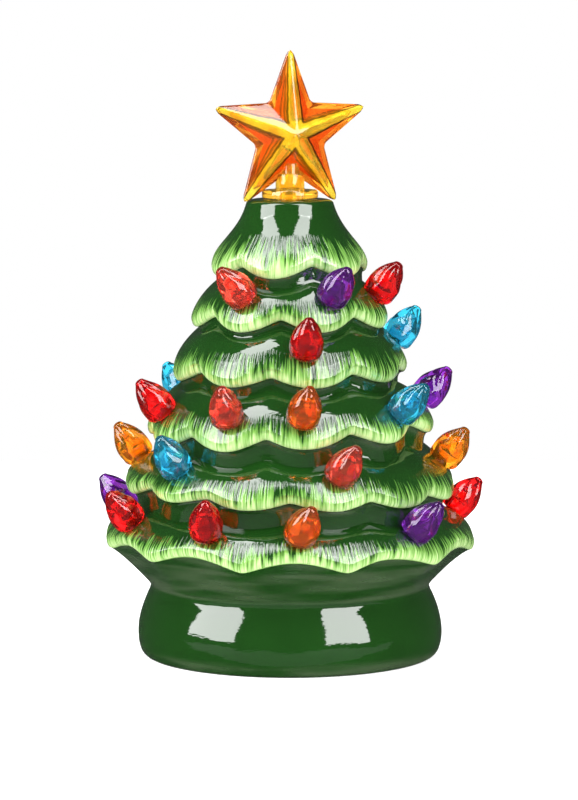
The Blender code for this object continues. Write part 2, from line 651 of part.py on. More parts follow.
def trough_hollow():
    """The space for the cells, open below for the door."""
    bm = bmesh.new()
    add_box(bm, (-TROUGH_INNER_LENGTH / 2, -TROUGH_INNER_WIDTH / 2, GROUND_CLEARANCE - GAP),
            (TROUGH_INNER_LENGTH / 2, TROUGH_INNER_WIDTH / 2, TROUGH_INNER_TOP))
    return mesh_from(bm, "trough_hollow")


def screw_place():
    """The door screw's axis: between the door's edge and the front of the collar."""
    return (0.0, -(TROUGH_WIDTH / 2 + SCREW_BOSS_RADIUS + GAP))


def screw_boss():
    """The boss on the flange that the door screw bites into."""
    bm = bmesh.new()
    add_cylinder(bm, SCREW_BOSS_RADIUS, FLANGE_TOP - FLANGE_THICKNESS / 2,
                 FLANGE_TOP + SCREW_LENGTH, screw_place(), 16)
    return mesh_from(bm, "screw_boss")


def ear_recess():
    """The shallow recess in the flange for the door's ear."""
    bm = bmesh.new()
    x, y = screw_place()
    reach = SCREW_BOSS_RADIUS + GAP
    add_box(bm, (x - reach, y - reach, GROUND_CLEARANCE - GAP),
            (x + reach, -TROUGH_INNER_WIDTH / 2 + GAP,
             GROUND_CLEARANCE + DOOR_EAR_THICKNESS + GAP))
    return mesh_from(bm, "ear_recess")


def housing_slots():
    """Cuts for the door screw, the slider and the solder tabs."""
    bm = bmesh.new()
    add_cylinder(bm, SCREW_SHANK_RADIUS + GAP, GROUND_CLEARANCE,
                 FLANGE_TOP + SCREW_LENGTH + GAP, screw_place(), 16)
    half_length = (SLIDER_LENGTH + SWITCH_TRAVEL) / 2 + GAP
    half_width = SLIDER_WIDTH / 2 + GAP
    add_box(bm, (-half_length, SWITCH_POSITION - half_width, GROUND_CLEARANCE - GAP),
            (half_length, SWITCH_POSITION + half_width, FLANGE_TOP + GAP))
    for side, y in tab_places().values():
        x = contact_plane(side) + side * CONTACT_THICKNESS / 2
        reach = CONTACT_THICKNESS / 2 + GAP
        add_box(bm, (x - reach, y - TAB_WIDTH / 2 - GAP, TROUGH_INNER_TOP - GAP),
                (x + reach, y + TAB_WIDTH / 2 + GAP, TROUGH_TOP + GAP))
    return mesh_from(bm, "housing_slots")


def make_grommet():
    """The soft ring that holds the light unit in the ceramic opening."""
    inner = COLLAR_RADIUS + GAP
    outer = OPENING_RADIUS - GAP
    lip_bottom = FLOOR_TOP + GAP
    profile = [(inner, lip_bottom + GROMMET_LIP_HEIGHT),
               (outer + GROMMET_LIP, lip_bottom + GROMMET_LIP_HEIGHT),
               (outer + GROMMET_LIP, lip_bottom), (outer, lip_bottom),
               (outer, FLANGE_TOP + GAP), (inner, FLANGE_TOP + GAP)]
    add_object("rubber_grommet", turned_mesh("rubber_grommet", profile, 48), "rubber")


def make_battery_door():
    """The plate that closes the trough, with an ear for its screw and two grip grooves."""
    bottom, top = GROUND_CLEARANCE, GROUND_CLEARANCE + DOOR_THICKNESS
    half_length = TROUGH_INNER_LENGTH / 2 - GAP
    half_width = TROUGH_INNER_WIDTH / 2 - GAP
    bm = bmesh.new()
    add_box(bm, (-half_length, -half_width, 0.0), (half_length, half_width, top - bottom))
    door = add_object("battery_door", mesh_from(bm, "battery_door"), "black_plastic")
    door.parent = door_pivot
    x, y = screw_place()
    bm = bmesh.new()
    add_box(bm, (x - SCREW_BOSS_RADIUS, y - SCREW_BOSS_RADIUS, bottom),
            (x + SCREW_BOSS_RADIUS, -half_width + GAP, bottom + DOOR_EAR_THICKNESS))
    combine(door, cutter("door_ear", mesh_from(bm, "door_ear")), "UNION")
    combine(door, cutter("door_screw_hole", door_screw_hole()), "DIFFERENCE")
    bm = bmesh.new()
    for side in (-1, 1):
        centre = side * half_length * DOOR_GRIP_PLACE
        add_box(bm, (centre - GAP, -DOOR_GRIP_WIDTH / 2, bottom - GAP),
                (centre + GAP, DOOR_GRIP_WIDTH / 2, bottom + GAP))
    combine(door, cutter("door_grips", mesh_from(bm, "door_grips")), "DIFFERENCE")


def door_screw_hole():
    """The stepped hole in the door's ear for the screw's head and shank."""
    shank, head = SCREW_SHANK_RADIUS + GAP, SCREW_HEAD_RADIUS + GAP
    top = GROUND_CLEARANCE + 2 * DOOR_EAR_THICKNESS
    step = GROUND_CLEARANCE + DOOR_EAR_THICKNESS / 2
    bottom = GROUND_CLEARANCE - GAP
    mesh = turned_mesh("door_screw_hole", [(0.0, top), (shank, top), (shank, step),
                                           (head, step), (head, bottom), (0.0, bottom)], 16)
    mesh.transform(Matrix.Translation((*screw_place(), 0.0)))
    return mesh


def make_door_screw():
    """The small captive screw of the battery door, with a cross recess."""
    x, y = screw_place()
    bottom = GROUND_CLEARANCE - GAP
    head_top = GROUND_CLEARANCE + DOOR_EAR_THICKNESS / 2 - GAP
    profile = [(0.0, bottom + SCREW_LENGTH), (SCREW_SHANK_RADIUS, bottom + SCREW_LENGTH),
               (SCREW_SHANK_RADIUS, head_top), (SCREW_HEAD_RADIUS, head_top),
               (SCREW_HEAD_RADIUS, bottom), (0.0, bottom)]
    profile = [(radius, height - GROUND_CLEARANCE) for radius, height in profile]
    screw = add_object("door_screw", turned_mesh("door_screw", profile, 16), "nickel")
    screw.parent = door_pivot
    screw.location = (x, y, 0.0)
    bm = bmesh.new()
    arm, slot, depth = SCREW_SLOT_REACH, SCREW_SLOT_WIDTH / 2, GAP
    add_box(bm, (x - arm, y - slot, bottom - depth), (x + arm, y + slot, bottom + depth / 2))
    combine(screw, cutter("screw_slot_1", mesh_from(bm, "screw_slot_1")), "DIFFERENCE")
    bm = bmesh.new()
    add_box(bm, (x - slot, y - arm, bottom - depth), (x + slot, y + arm, bottom + depth / 2))
    combine(screw, cutter("screw_slot_2", mesh_from(bm, "screw_slot_2")), "DIFFERENCE")


def make_cells():
    """The battery cells, each turned end for end against its neighbour."""
    half = (CELL_LENGTH + CELL_BUTTON_HEIGHT) / 2
    shoulder = half - CELL_BUTTON_HEIGHT
    profile = [(0.0, half), (CELL_BUTTON_RADIUS, half), (CELL_BUTTON_RADIUS, shoulder),
               (CELL_RADIUS - CELL_EDGE, shoulder), (CELL_RADIUS, shoulder - CELL_EDGE),
               (CELL_RADIUS, -half), (0.0, -half)]
    mesh = turned_mesh("battery_cell", profile, 20)
    for number in range(1, CELL_COUNT + 1):
        facing = cell_facing(number)
        cell = add_object(f"battery_{number}", mesh, "cell_wrap")
        reach = contact_plane(facing) - facing * BUTTON_SPACE
        cell.location = (reach - facing * half, cell_offset(number), CELL_AXIS_HEIGHT)
        cell.rotation_euler = (0.0, facing * math.pi / 2, 0.0)


def contact_groups():
    """Each contact plate's name, side, the cells that it serves and its solder tab."""
    tabs = tab_places()
    return (("contact_negative", -1, (1,), tabs["negative"]),
            ("contact_bridge_rear", -1, (2, 3), None),
            ("contact_bridge_front", 1, (1, 2), None),
            ("contact_positive", 1, (3,), tabs["positive"]))


def make_contacts():
    """Four sprung-steel plates at the trough's ends; two have solder tabs through the roof."""
    for name, side, cells, tab in contact_groups():
        x = contact_plane(side) + side * CONTACT_THICKNESS / 2
        low_y = cell_offset(cells[0]) - CONTACT_WIDTH / 2
        high_y = cell_offset(cells[-1]) + CONTACT_WIDTH / 2
        low_z = CELL_AXIS_HEIGHT - CONTACT_HEIGHT / 2
        half = CONTACT_THICKNESS / 2
        bm = bmesh.new()
        add_box(bm, (x - half, low_y, low_z), (x + half, high_y, low_z + CONTACT_HEIGHT))
        plate = add_object(name, mesh_from(bm, name), "nickel")
        if tab:
            bm = bmesh.new()
            add_box(bm, (x - half, tab[1] - TAB_WIDTH / 2, CELL_AXIS_HEIGHT),
                    (x + half, tab[1] + TAB_WIDTH / 2, TROUGH_TOP + TAB_RISE))
            combine(plate, cutter(f"{name}_tab", mesh_from(bm, f"{name}_tab")), "UNION")


def make_springs():
    """A coil spring between each cell's flat end and its contact."""
    for number in range(1, CELL_COUNT + 1):
        side = -cell_facing(number)
        start = contact_plane(side) - side * (SPRING_WIRE_RADIUS + GAP)
        length = SPRING_SPACE - 2 * (SPRING_WIRE_RADIUS + GAP)
        steps = SPRING_TURN_STEPS * SPRING_TURNS
        points = []
        for step in range(steps + 1):
            share = step / steps
            angle = math.tau * SPRING_TURNS * share
            radius = SPRING_RADIUS * (1 - SPRING_TAPER * share)
            points.append((start - side * length * share,
                           cell_offset(number) + radius * math.cos(angle),
                           CELL_AXIS_HEIGHT + radius * math.sin(angle)))
        add_tube(f"contact_spring_{number}", points, SPRING_WIRE_RADIUS, "nickel")


def make_switch():
    """The slide switch: a body on the flange and a slider through it, moving along X."""
    low = (-SWITCH_LENGTH / 2, SWITCH_POSITION - SWITCH_WIDTH / 2, SWITCH_FLOOR)
    high = (SWITCH_LENGTH / 2, SWITCH_POSITION + SWITCH_WIDTH / 2, SWITCH_FLOOR + SWITCH_HEIGHT)
    bm = bmesh.new()
    add_box(bm, low, high)
    body = add_object("switch_body", mesh_from(bm, "switch_body"), "black_plastic")
    half_length = (SLIDER_LENGTH + SWITCH_TRAVEL) / 2 + GAP
    half_width = SLIDER_WIDTH / 2 + GAP
    bm = bmesh.new()
    add_box(bm, (-half_length, SWITCH_POSITION - half_width, SWITCH_FLOOR - GAP),
            (half_length, SWITCH_POSITION + half_width, SWITCH_FLOOR + SLIDER_ROOT + GAP))
    combine(body, cutter("slider_way", mesh_from(bm, "slider_way")), "DIFFERENCE")
    bottom = GROUND_CLEARANCE - GAP
    bm = bmesh.new()
    add_box(bm, (-SLIDER_LENGTH / 2, -SLIDER_WIDTH / 2, 0.0),
            (SLIDER_LENGTH / 2, SLIDER_WIDTH / 2, SWITCH_FLOOR + SLIDER_ROOT - bottom))
    slider = add_object("switch_slider", mesh_from(bm, "switch_slider"), "white_plastic")
    slider.location = (-SWITCH_TRAVEL / 2, SWITCH_POSITION, bottom)


def make_light_board():
    """The round circuit board on its posts, and three warm lamps standing on it."""
    bm = bmesh.new()
    add_cylinder(bm, BOARD_RADIUS, BOARD_BOTTOM, BOARD_TOP, segments=32)
    add_object("circuit_board", mesh_from(bm, "circuit_board"), "board_green")
    base = BOARD_TOP + GAP
    dome = LAMP_HEIGHT - LAMP_RADIUS
    rounded = [(LAMP_RADIUS * out, dome + LAMP_RADIUS * up) for out, up in LAMP_DOME]
    profile = [(0.0, LAMP_HEIGHT), *rounded, (LAMP_RADIUS, dome), (LAMP_RADIUS, LAMP_RIM_HEIGHT),
               (LAMP_RIM_RADIUS, LAMP_RIM_HEIGHT), (LAMP_RIM_RADIUS, 0.0), (0.0, 0.0)]
    mesh = turned_mesh("lamp", profile, 12)
    for number in range(1, LAMP_COUNT + 1):
        lamp = add_object(f"lamp_{number}", mesh, "lamp_epoxy")
        lamp.location = around(360 / LAMP_COUNT * number, LAMP_CIRCLE, base)


def make_wires():
    """Insulated leads: cells to the switch, switch to the board, cells to the board."""
    tabs = tab_places()
    lift = TROUGH_TOP + TAB_RISE + WIRE_RADIUS + GAP
    board_edge = BOARD_RADIUS + GAP + WIRE_RADIUS
    board_mid = (BOARD_BOTTOM + BOARD_TOP) / 2
    over = TROUGH_TOP + 2 * WIRE_RADIUS
    side, y = tabs["negative"]
    x = contact_plane(side)
    route = [(x * along, y * across, lift + rise) for along, across, rise in BLACK_LEAD]
    route += [(x * BLACK_LEAD_END[0], y * BLACK_LEAD_END[1], board_mid),
              (-board_edge, 0.0, board_mid)]
    add_tube("wire_black", route, WIRE_RADIUS, "black_wire")
    side, y = tabs["positive"]
    x = contact_plane(side)
    switch_top = SWITCH_FLOOR + SWITCH_HEIGHT + WIRE_RADIUS + GAP
    rear = TROUGH_WIDTH / 2 + 2 * WIRE_RADIUS
    pin = SWITCH_LENGTH / 3
    along, beyond, below = RED_LEAD_DROP
    route = [(x * share, y * across, lift + rise) for share, across, rise in RED_LEAD]
    route += [(x * RED_LEAD_BEND, rear, over), (x * along, rear + beyond, TROUGH_TOP - below),
              (pin, SWITCH_POSITION, switch_top)]
    add_tube("wire_red", route, WIRE_RADIUS, "red_wire")
    along, inside_edge, above = SWITCH_LEAD_TURN
    route = [(-pin, SWITCH_POSITION, switch_top),
             (-pin, rear + SWITCH_LEAD_RISE[0], TROUGH_TOP - SWITCH_LEAD_RISE[1]),
             (-pin * along, rear - inside_edge, over + above),
             (-pin * SWITCH_LEAD_END[0], rear * SWITCH_LEAD_END[1], board_mid),
             (0.0, board_edge, board_mid)]
    add_tube("wire_switch", route, WIRE_RADIUS, "red_wire")


# ---------------------------------------------------------------- build
def pivot(name, place, yaw=0.0):
    """An empty that a moving group hangs on."""
    empty = bpy.data.objects.new(name, None)
    parts.objects.link(empty)
    empty.location = place
    empty.rotation_euler.z = math.radians(yaw)
    return empty


clear_scene()
parts = make_collection(COLLECTION_NAME)
cutters = make_collection("cutters")
star_pivot = pivot("star_pivot", (0.0, 0.0, TOP_HEIGHT), STAR_YAW)
door_pivot = pivot("door_pivot", (0.0, 0.0, GROUND_CLEARANCE))
make_ceramic_tree()
make_bulbs()
make_star_half("star_front", 1)
make_star_half("star_rear", -1)
make_star_stem()
make_module_housing()
make_grommet()
make_battery_door()
make_door_screw()
make_cells()
make_contacts()
make_springs()
make_switch()
make_light_board()
make_wires()
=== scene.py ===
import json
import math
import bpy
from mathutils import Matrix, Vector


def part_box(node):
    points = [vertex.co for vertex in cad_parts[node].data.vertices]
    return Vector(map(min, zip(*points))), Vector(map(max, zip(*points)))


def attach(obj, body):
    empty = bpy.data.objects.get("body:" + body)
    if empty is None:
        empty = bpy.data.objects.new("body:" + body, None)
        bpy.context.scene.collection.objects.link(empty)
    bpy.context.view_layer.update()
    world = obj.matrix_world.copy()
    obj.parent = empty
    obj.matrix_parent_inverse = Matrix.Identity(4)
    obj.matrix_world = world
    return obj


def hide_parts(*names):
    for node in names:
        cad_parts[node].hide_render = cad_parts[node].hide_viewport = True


bl_info = {
    "name": "Ceramic Tabletop Tree",
    "version": (1, 0, 0),
    "blender": (4, 5, 0),
    "location": "3D View > Sidebar > Tree",
    "description": "Dresses the tabletop tree: glaze, bulbs, star, light unit and studio",
    "category": "Object",
}

from collections import namedtuple

import bmesh
import bpy
from bpy.props import FloatProperty, FloatVectorProperty, IntProperty, PointerProperty
from mathutils import Matrix, Vector, noise

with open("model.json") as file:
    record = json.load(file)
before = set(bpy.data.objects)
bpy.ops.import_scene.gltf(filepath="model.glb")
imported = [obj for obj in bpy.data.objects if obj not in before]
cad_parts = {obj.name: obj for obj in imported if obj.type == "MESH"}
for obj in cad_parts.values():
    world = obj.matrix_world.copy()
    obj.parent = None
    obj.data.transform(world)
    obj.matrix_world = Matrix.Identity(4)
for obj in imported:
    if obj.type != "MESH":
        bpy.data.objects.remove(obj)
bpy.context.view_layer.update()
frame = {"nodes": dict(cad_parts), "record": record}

# ---------------------------------------------------------------- the ceramic's design, in metres
Tier = namedtuple("Tier", "rim_radius rim_height foot_radius foot_height "
                          "lobes phase depth rise pointed sway sway_phase reach")
TIERS = (
    Tier(0.0234, 0.1150, 0.0216, 0.1090, 6, 18, 0.0017, 0.0033, False, 0.0000, 0, 0.0150),
    Tier(0.0291, 0.1000, 0.0267, 0.0957, 7, -6, 0.0021, 0.0034, False, 0.0000, 0, 0.0105),
    Tier(0.0347, 0.0850, 0.0321, 0.0795, 8, -10, 0.0023, 0.0028, False, 0.0006, 60, 0.0110),
    Tier(0.0425, 0.0678, 0.0395, 0.0600, 10, -10, 0.0024, 0.0032, False, 0.0014, 10, 0.0105),
    Tier(0.0490, 0.0512, 0.0456, 0.0430, 12, 0, 0.0018, 0.0020, False, -0.0010, 0, 0.0100),
    Tier(0.0547, 0.0346, 0.0, 0.0, 11, 18, 0.0012, 0.0028, True, -0.0006, 0, 0.0100),
)
TOP_HEIGHT = 0.1342
TOP_RADIUS = 0.0114
TOP_EDGE = 0.0014
CAP_FLARE = 0.0017
CAP_BULGE = 0.0065
RIM_DROP = 0.0026
RIM_TUCK = 0.0013
FOOT_SHARE = 0.75
SLOPE_POWER = 1.43
SOCKET_RADIUS = 0.0043
NOTCH_ROUNDING = 0.13
BASE_RADIUS = 0.04481
BASE_WAIST_RADIUS = 0.04101
BASE_WAIST_HEIGHT = 0.0206
BASE_SWELL_HEIGHT = 0.0062
FOOT_RING_OUTER = 0.04191
FOOT_RING_INNER = 0.03771
FLOOR_RECESS = 0.0029
FLOOR_TOP = 0.0061
OPENING_RADIUS = 0.03491
WALL = 0.0028

BULB_PEG_LENGTH = 0.0046
BULB_PEG_RADIUS = 0.0020
BULB_RADIUS = 0.0049
BULB_LENGTH = 0.0120
BULB_FOOT_LENGTH = 0.0018
BULB_FOOT_SHARE = 0.74          # of the radius, at the seat
BULB_BELLY = 0.36               # share of the length where the taper starts
BULB_TAPER = 0.68               # of the radius, lost by the tip
FOLDS = 5.0
FOLD_TWIST = 6.5
FOLD_DEPTH = 0.17
CORE_SECTIONS = ((0.0006, 0.0024), (0.0042, 0.0031), (0.0080, 0.0015), (0.0092, 0.0001))
CORE_BEVEL = 0.00012
GOLDEN_ANGLE = math.radians(137.5)

# The outer growths make up for what rounding takes off the points
STAR_POINT_GROWTH = 1.11
STAR_NOTCH_GROWTH = 1.04
STAR_DEPTH_GROWTH = 1.08
STAR_ROUNDING = 0.00105
STAR_HOLLOW_POINT = 0.84
STAR_HOLLOW_NOTCH = 0.78
STAR_HOLLOW_DEPTH = 0.68
STAR_HOLLOW_ROUNDING = 0.0003
RIDGE_BAND = 0.0036             # half width of the yellow band at the middle
RIDGE_BAND_TAPER = 0.0026       # of it, lost by the point

STEM_PEG_RADIUS = 0.0040
STEM_PEG_LENGTH = 0.0075
STEM_RADIUS = 0.0042
STEM_TOP_RADIUS = 0.0028
STEM_TOP_LENGTH = 0.0030
STEM_FLANGE_RADIUS = 0.0082
STEM_BORE_RADIUS = 0.0030
STEM_TOP_BORE_RADIUS = 0.0016
STEM_SHELF = 0.0010             # between the wide bore's end and the narrow top
EDGE = 0.0002                   # small rounding of a moulded edge

BULB_TINTS = {
    "red": (0.80, 0.010, 0.012),
    "coral": (0.95, 0.130, 0.075),
    "orange": (0.96, 0.200, 0.015),
    "amber": (1.00, 0.400, 0.020),
    "purple": (0.270, 0.036, 0.470),
    "turquoise": (0.040, 0.480, 0.660),
}
BULB_DENSITY = 60.0
STEM_TINT = (1.0, 0.60, 0.05)
STEM_DENSITY = 30.0

# Soft boxes: name, azimuth, width and height
UPRIGHT_BOXES = (("softbox_left", -61.0, (0.54, 0.62)), ("softbox_right", 42.0, (0.44, 0.62)))
HIGH_BOXES = (("softbox_high_left", -61.0, (0.36, 0.56)),
              ("softbox_high_right", 42.0, (0.30, 0.56)))
UPRIGHT_BOX_DISTANCE = 0.70
UPRIGHT_BOX_HEIGHT = 0.41
HIGH_BOX_DISTANCE = 0.95
HIGH_BOX_ELEVATION = 61.0
HIGH_BOX_AIM = 0.08             # height of the point they face
FLOOR_RADIUS = 0.45
CARD_PLACE = (0.0, -1.55, 0.001)
CARD_SIZE = (1.6, 3.0)


# ---------------------------------------------------------------- mesh helpers
def around(azimuth, radius, height=0.0):
    """A point at an azimuth counted from the front, positive towards +X."""
    angle = math.radians(azimuth)
    return Vector((radius * math.sin(angle), -radius * math.cos(angle), height))


def smooth_step(share):
    """Ease from 0 to 1."""
    share = min(max(share, 0.0), 1.0)
    return share * share * (3.0 - 2.0 * share)


def finish_mesh(bm, name, smooth_angle=35.0, recalc=True):
    """Merge doubles, face outwards, shade smooth below an angle, and link the object."""
    bmesh.ops.remove_doubles(bm, verts=bm.verts, dist=1e-7)
    if recalc:
        bmesh.ops.recalc_face_normals(bm, faces=bm.faces)
    mesh = bpy.data.meshes.new(name)
    bm.to_mesh(mesh)
    bm.free()
    mesh.shade_smooth()
    mesh.set_sharp_from_angle(angle=math.radians(smooth_angle))
    piece = bpy.data.objects.new(name, mesh)
    bpy.context.scene.collection.objects.link(piece)
    return piece


def spin_profile(bm, profile, segments, closed=False):
    """Turn (radius, height) points about Z into a surface, and return its vertices."""
    verts = [bm.verts.new((radius, 0.0, height)) for radius, height in profile]
    pairs = list(zip(verts, verts[1:]))
    if closed:
        pairs.append((verts[-1], verts[0]))
    edges = [bm.edges.new(pair) for pair in pairs]
    bmesh.ops.spin(bm, geom=verts + edges, axis=(0, 0, 1), cent=(0, 0, 0),
                   angle=math.tau, steps=segments, use_merge=True)
    return bm.verts


def give(piece, material, slot, body, *nodes):
    """Set a piece's material and tell the frame where it belongs."""
    piece.data.materials.clear()
    piece.data.materials.append(material)
    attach(piece, body)
    if nodes:
        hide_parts(*nodes)


# ---------------------------------------------------------------- node helpers
class Nodes:
    """A short way to add and link nodes in one material."""

    def __init__(self, name):
        self.material = bpy.data.materials.new(name)
        self.material.use_nodes = True
        self.tree = self.material.node_tree
        self.shader = self.tree.nodes["Principled BSDF"]
        self.output = self.tree.nodes["Material Output"]

    def add(self, kind, **values):
        """Add a node and set its properties."""
        node = self.tree.nodes.new(kind)
        for key, value in values.items():
            setattr(node, key, value)
        return node

    def link(self, source, target):
        """Link two sockets."""
        self.tree.links.new(source, target)

    def set(self, **values):
        """Set constants on the shader's sockets."""
        for key, value in values.items():
            self.shader.inputs[key.replace("_", " ")].default_value = value

    def noise(self, vector, scale, detail=2.0, roughness=0.5):
        """A noise texture's value."""
        node = self.add("ShaderNodeTexNoise")
        node.inputs["Scale"].default_value = scale
        node.inputs["Detail"].default_value = detail
        node.inputs["Roughness"].default_value = roughness
        self.link(vector, node.inputs["Vector"])
        return node.outputs["Fac"]

    def mapped(self, vector, scale):
        """A vector scaled along each axis."""
        node = self.add("ShaderNodeMapping")
        node.inputs["Scale"].default_value = scale
        self.link(vector, node.inputs["Vector"])
        return node.outputs["Vector"]

    def maths(self, operation, first, second=0.0, third=None):
        """One maths node on numbers or sockets."""
        node = self.add("ShaderNodeMath", operation=operation)
        for socket, value in zip(node.inputs, (first, second, third)):
            if value is None:
                continue
            if isinstance(value, (int, float)):
                socket.default_value = value
            else:
                self.link(value, socket)
        return node.outputs["Value"]

    def ramp(self, factor, stops, interpolation="LINEAR"):
        """A colour ramp through (position, colour) stops."""
        node = self.add("ShaderNodeValToRGB")
        node.color_ramp.interpolation = interpolation
        while len(node.color_ramp.elements) < len(stops):
            node.color_ramp.elements.new(0.5)
        for element, (position, colour) in zip(node.color_ramp.elements, stops):
            element.position = position
            element.color = (*colour, 1.0)
        self.link(factor, node.inputs["Fac"])
        return node.outputs["Color"]

    def mix(self, factor, first, second):
        """Mix two colours or sockets."""
        node = self.add("ShaderNodeMix", data_type="RGBA")
        for socket, value in ((node.inputs["Factor"], factor), (node.inputs["A"], first),
                              (node.inputs["B"], second)):
            if isinstance(value, (int, float)):
                socket.default_value = value
            elif isinstance(value, tuple):
                socket.default_value = (*value, 1.0)
            else:
                self.link(value, socket)
        return node.outputs["Result"]

    def bump(self, height, strength, distance, normal=None):
        """A normal bumped by a height."""
        node = self.add("ShaderNodeBump")
        node.inputs["Strength"].default_value = strength
        node.inputs["Distance"].default_value = distance
        self.link(height, node.inputs["Height"])
        if normal is not None:
            self.link(normal, node.inputs["Normal"])
        return node.outputs["Normal"]

    def object_space(self):
        """The object's own coordinates."""
        return self.add("ShaderNodeTexCoord").outputs["Object"]

    def attribute(self, name):
        """An attribute stored on the mesh."""
        return self.add("ShaderNodeAttribute", attribute_name=name)


# ---------------------------------------------------------------- the scalloped form
def notch(tier, azimuth):
    """How deep into a notch of the rim an azimuth lies, from 0 to 1."""
    wave = abs(math.sin(math.radians(tier.lobes * (azimuth - tier.phase) / 2)))
    soft = (math.hypot(wave, NOTCH_ROUNDING) - NOTCH_ROUNDING) / (
        math.hypot(1.0, NOTCH_ROUNDING) - NOTCH_ROUNDING)
    return soft if tier.pointed else 1.0 - soft


class Ring:
    """One ring of the body: its place, its share of the scallops and its brushwork."""

    def __init__(self, radius, height, shares=None, tier=None, distance=0.0, painted=0.0):
        self.radius = radius
        self.height = height
        self.shares = shares or {}
        self.tier = tier
        self.distance = distance
        self.painted = painted


def cap_rings(steps):
    """Socket edge, flat top, rounded shoulder and flared side of the cap."""
    cap = TIERS[0]
    rings = [Ring(SOCKET_RADIUS, TOP_HEIGHT), Ring(SOCKET_RADIUS + 0.0006, TOP_HEIGHT),
             Ring(TOP_RADIUS - TOP_EDGE, TOP_HEIGHT)]
    for step in range(1, 8):
        angle = math.pi / 2 * step / 7
        rings.append(Ring(TOP_RADIUS - TOP_EDGE + 2 * TOP_EDGE * math.sin(angle),
                          TOP_HEIGHT - TOP_EDGE * (1 - math.cos(angle))))
    start = rings[-1]
    for step in range(1, steps + 1):
        share = step / steps
        radius = start.radius + (cap.rim_radius - start.radius) * share
        radius -= CAP_FLARE * math.sin(math.pi * share) * (1 - share)
        radius += CAP_BULGE * share ** 3 * (1 - share)
        height = start.height + (cap.rim_height - start.height) * share
        rings.append(Ring(radius, height, {0: share ** 3}, 0))
    return rings


def slope_rings(index, steps):
    """A tier's slope, from the foot of the tier above to its widest ring."""
    above, tier = TIERS[index - 1], TIERS[index]
    rings = []
    for step in range(1, steps + 1):
        share = step / steps
        out = math.sin(share * math.pi / 2) ** SLOPE_POWER
        up = math.cos(share * math.pi / 2) ** SLOPE_POWER
        rings.append(Ring(above.foot_radius + (tier.rim_radius - above.foot_radius) * out,
                          tier.rim_height + (above.foot_height - tier.rim_height) * up,
                          {index - 1: FOOT_SHARE * (1 - share) ** 2, index: share ** 2}, index))
    return rings


def lip_rings(index):
    """The rounded lip, and the dark wall under it down to the tier's foot."""
    tier = TIERS[index]
    rings = []
    for step in range(1, 7):
        angle = math.pi / 2 * step / 6
        rings.append(Ring(tier.rim_radius - RIM_TUCK * (1 - math.cos(angle)),
                          tier.rim_height - RIM_DROP * math.sin(angle), {index: 1.0}, index))
    lip = rings[-1]
    if not tier.foot_radius:
        foot = (BASE_WAIST_RADIUS + 0.0009, BASE_WAIST_HEIGHT + 0.0014)
        bend, foot_share, steps = (lip.radius - 0.003, lip.height - 0.0012), 0.0, 14
    else:
        foot = (tier.foot_radius, tier.foot_height)
        bend, foot_share, steps = (tier.foot_radius - 0.0002, lip.height - 0.0001), FOOT_SHARE, 10
    for step in range(1, steps + 1):
        share = step / steps
        weights = ((1 - share) ** 2, 2 * share * (1 - share), share ** 2)
        radius = weights[0] * lip.radius + weights[1] * bend[0] + weights[2] * foot[0]
        height = weights[0] * lip.height + weights[1] * bend[1] + weights[2] * foot[1]
        rings.append(Ring(radius, height, {index: 1.0 + (foot_share - 1.0) * share}))
    return rings


def base_rings():
    """The base, from its waist to the foot ring."""
    rings = [Ring(BASE_WAIST_RADIUS, BASE_WAIST_HEIGHT),
             Ring(BASE_WAIST_RADIUS + 0.0004, BASE_WAIST_HEIGHT - 0.0016)]
    top = (BASE_WAIST_RADIUS + 0.0004, BASE_WAIST_HEIGHT - 0.0016)
    steps = 14
    for step in range(1, steps + 1):
        share = step / steps
        swell = math.sin(share * math.pi / 2) ** 0.9
        rings.append(Ring(top[0] + (BASE_RADIUS - top[0]) * swell,
                          top[1] + (BASE_SWELL_HEIGHT - top[1]) * share))
    for step in range(1, 9):
        angle = math.pi / 2 * step / 8
        rings.append(Ring(FOOT_RING_OUTER + (BASE_RADIUS - FOOT_RING_OUTER) * math.cos(angle),
                          BASE_SWELL_HEIGHT * (1 - math.sin(angle) ** 0.8)))
    return rings


def hollow_rings():
    """The underside and the hollow, back up to the socket."""
    places = [(FOOT_RING_INNER, 0.0), (FOOT_RING_INNER, FLOOR_RECESS),
              (OPENING_RADIUS, FLOOR_RECESS), (OPENING_RADIUS, FLOOR_TOP),
              (BASE_RADIUS - 1.4 * WALL, FLOOR_TOP),
              (BASE_WAIST_RADIUS - WALL, BASE_WAIST_HEIGHT - WALL),
              (BASE_WAIST_RADIUS - WALL, BASE_WAIST_HEIGHT + WALL)]
    below = TIERS[4]
    places.append((below.foot_radius - FOOT_SHARE * below.depth - WALL,
                   TIERS[5].rim_height - RIM_DROP))
    for tier in reversed(TIERS[:5]):
        places.append((tier.foot_radius - FOOT_SHARE * tier.depth - WALL,
                       tier.foot_height - WALL / 2))
    places += [(TOP_RADIUS - WALL, TOP_HEIGHT - 2 * WALL),
               (SOCKET_RADIUS, TOP_HEIGHT - 1.6 * WALL)]
    return [Ring(radius, height) for radius, height in places]


def brush_rings(rings):
    """Measure each painted ring's distance up from its tier's lip."""
    for index, tier in enumerate(TIERS):
        own = [ring for ring in rings if ring.tier == index]
        distance = 0.0
        for lower, upper in zip(reversed(own), reversed(own[:-1])):
            lower.distance = distance
            lower.painted = 1.0 - distance / tier.reach
            distance += math.hypot(upper.radius - lower.radius, upper.height - lower.height)
        own[0].distance = distance
        own[0].painted = 1.0 - distance / tier.reach


def body_rings():
    """Every ring of the body's closed section."""
    rings = cap_rings(26) + lip_rings(0)
    for index in range(1, len(TIERS)):
        rings += slope_rings(index, 15) + lip_rings(index)
    rings += base_rings() + hollow_rings()
    brush_rings(rings)
    return rings


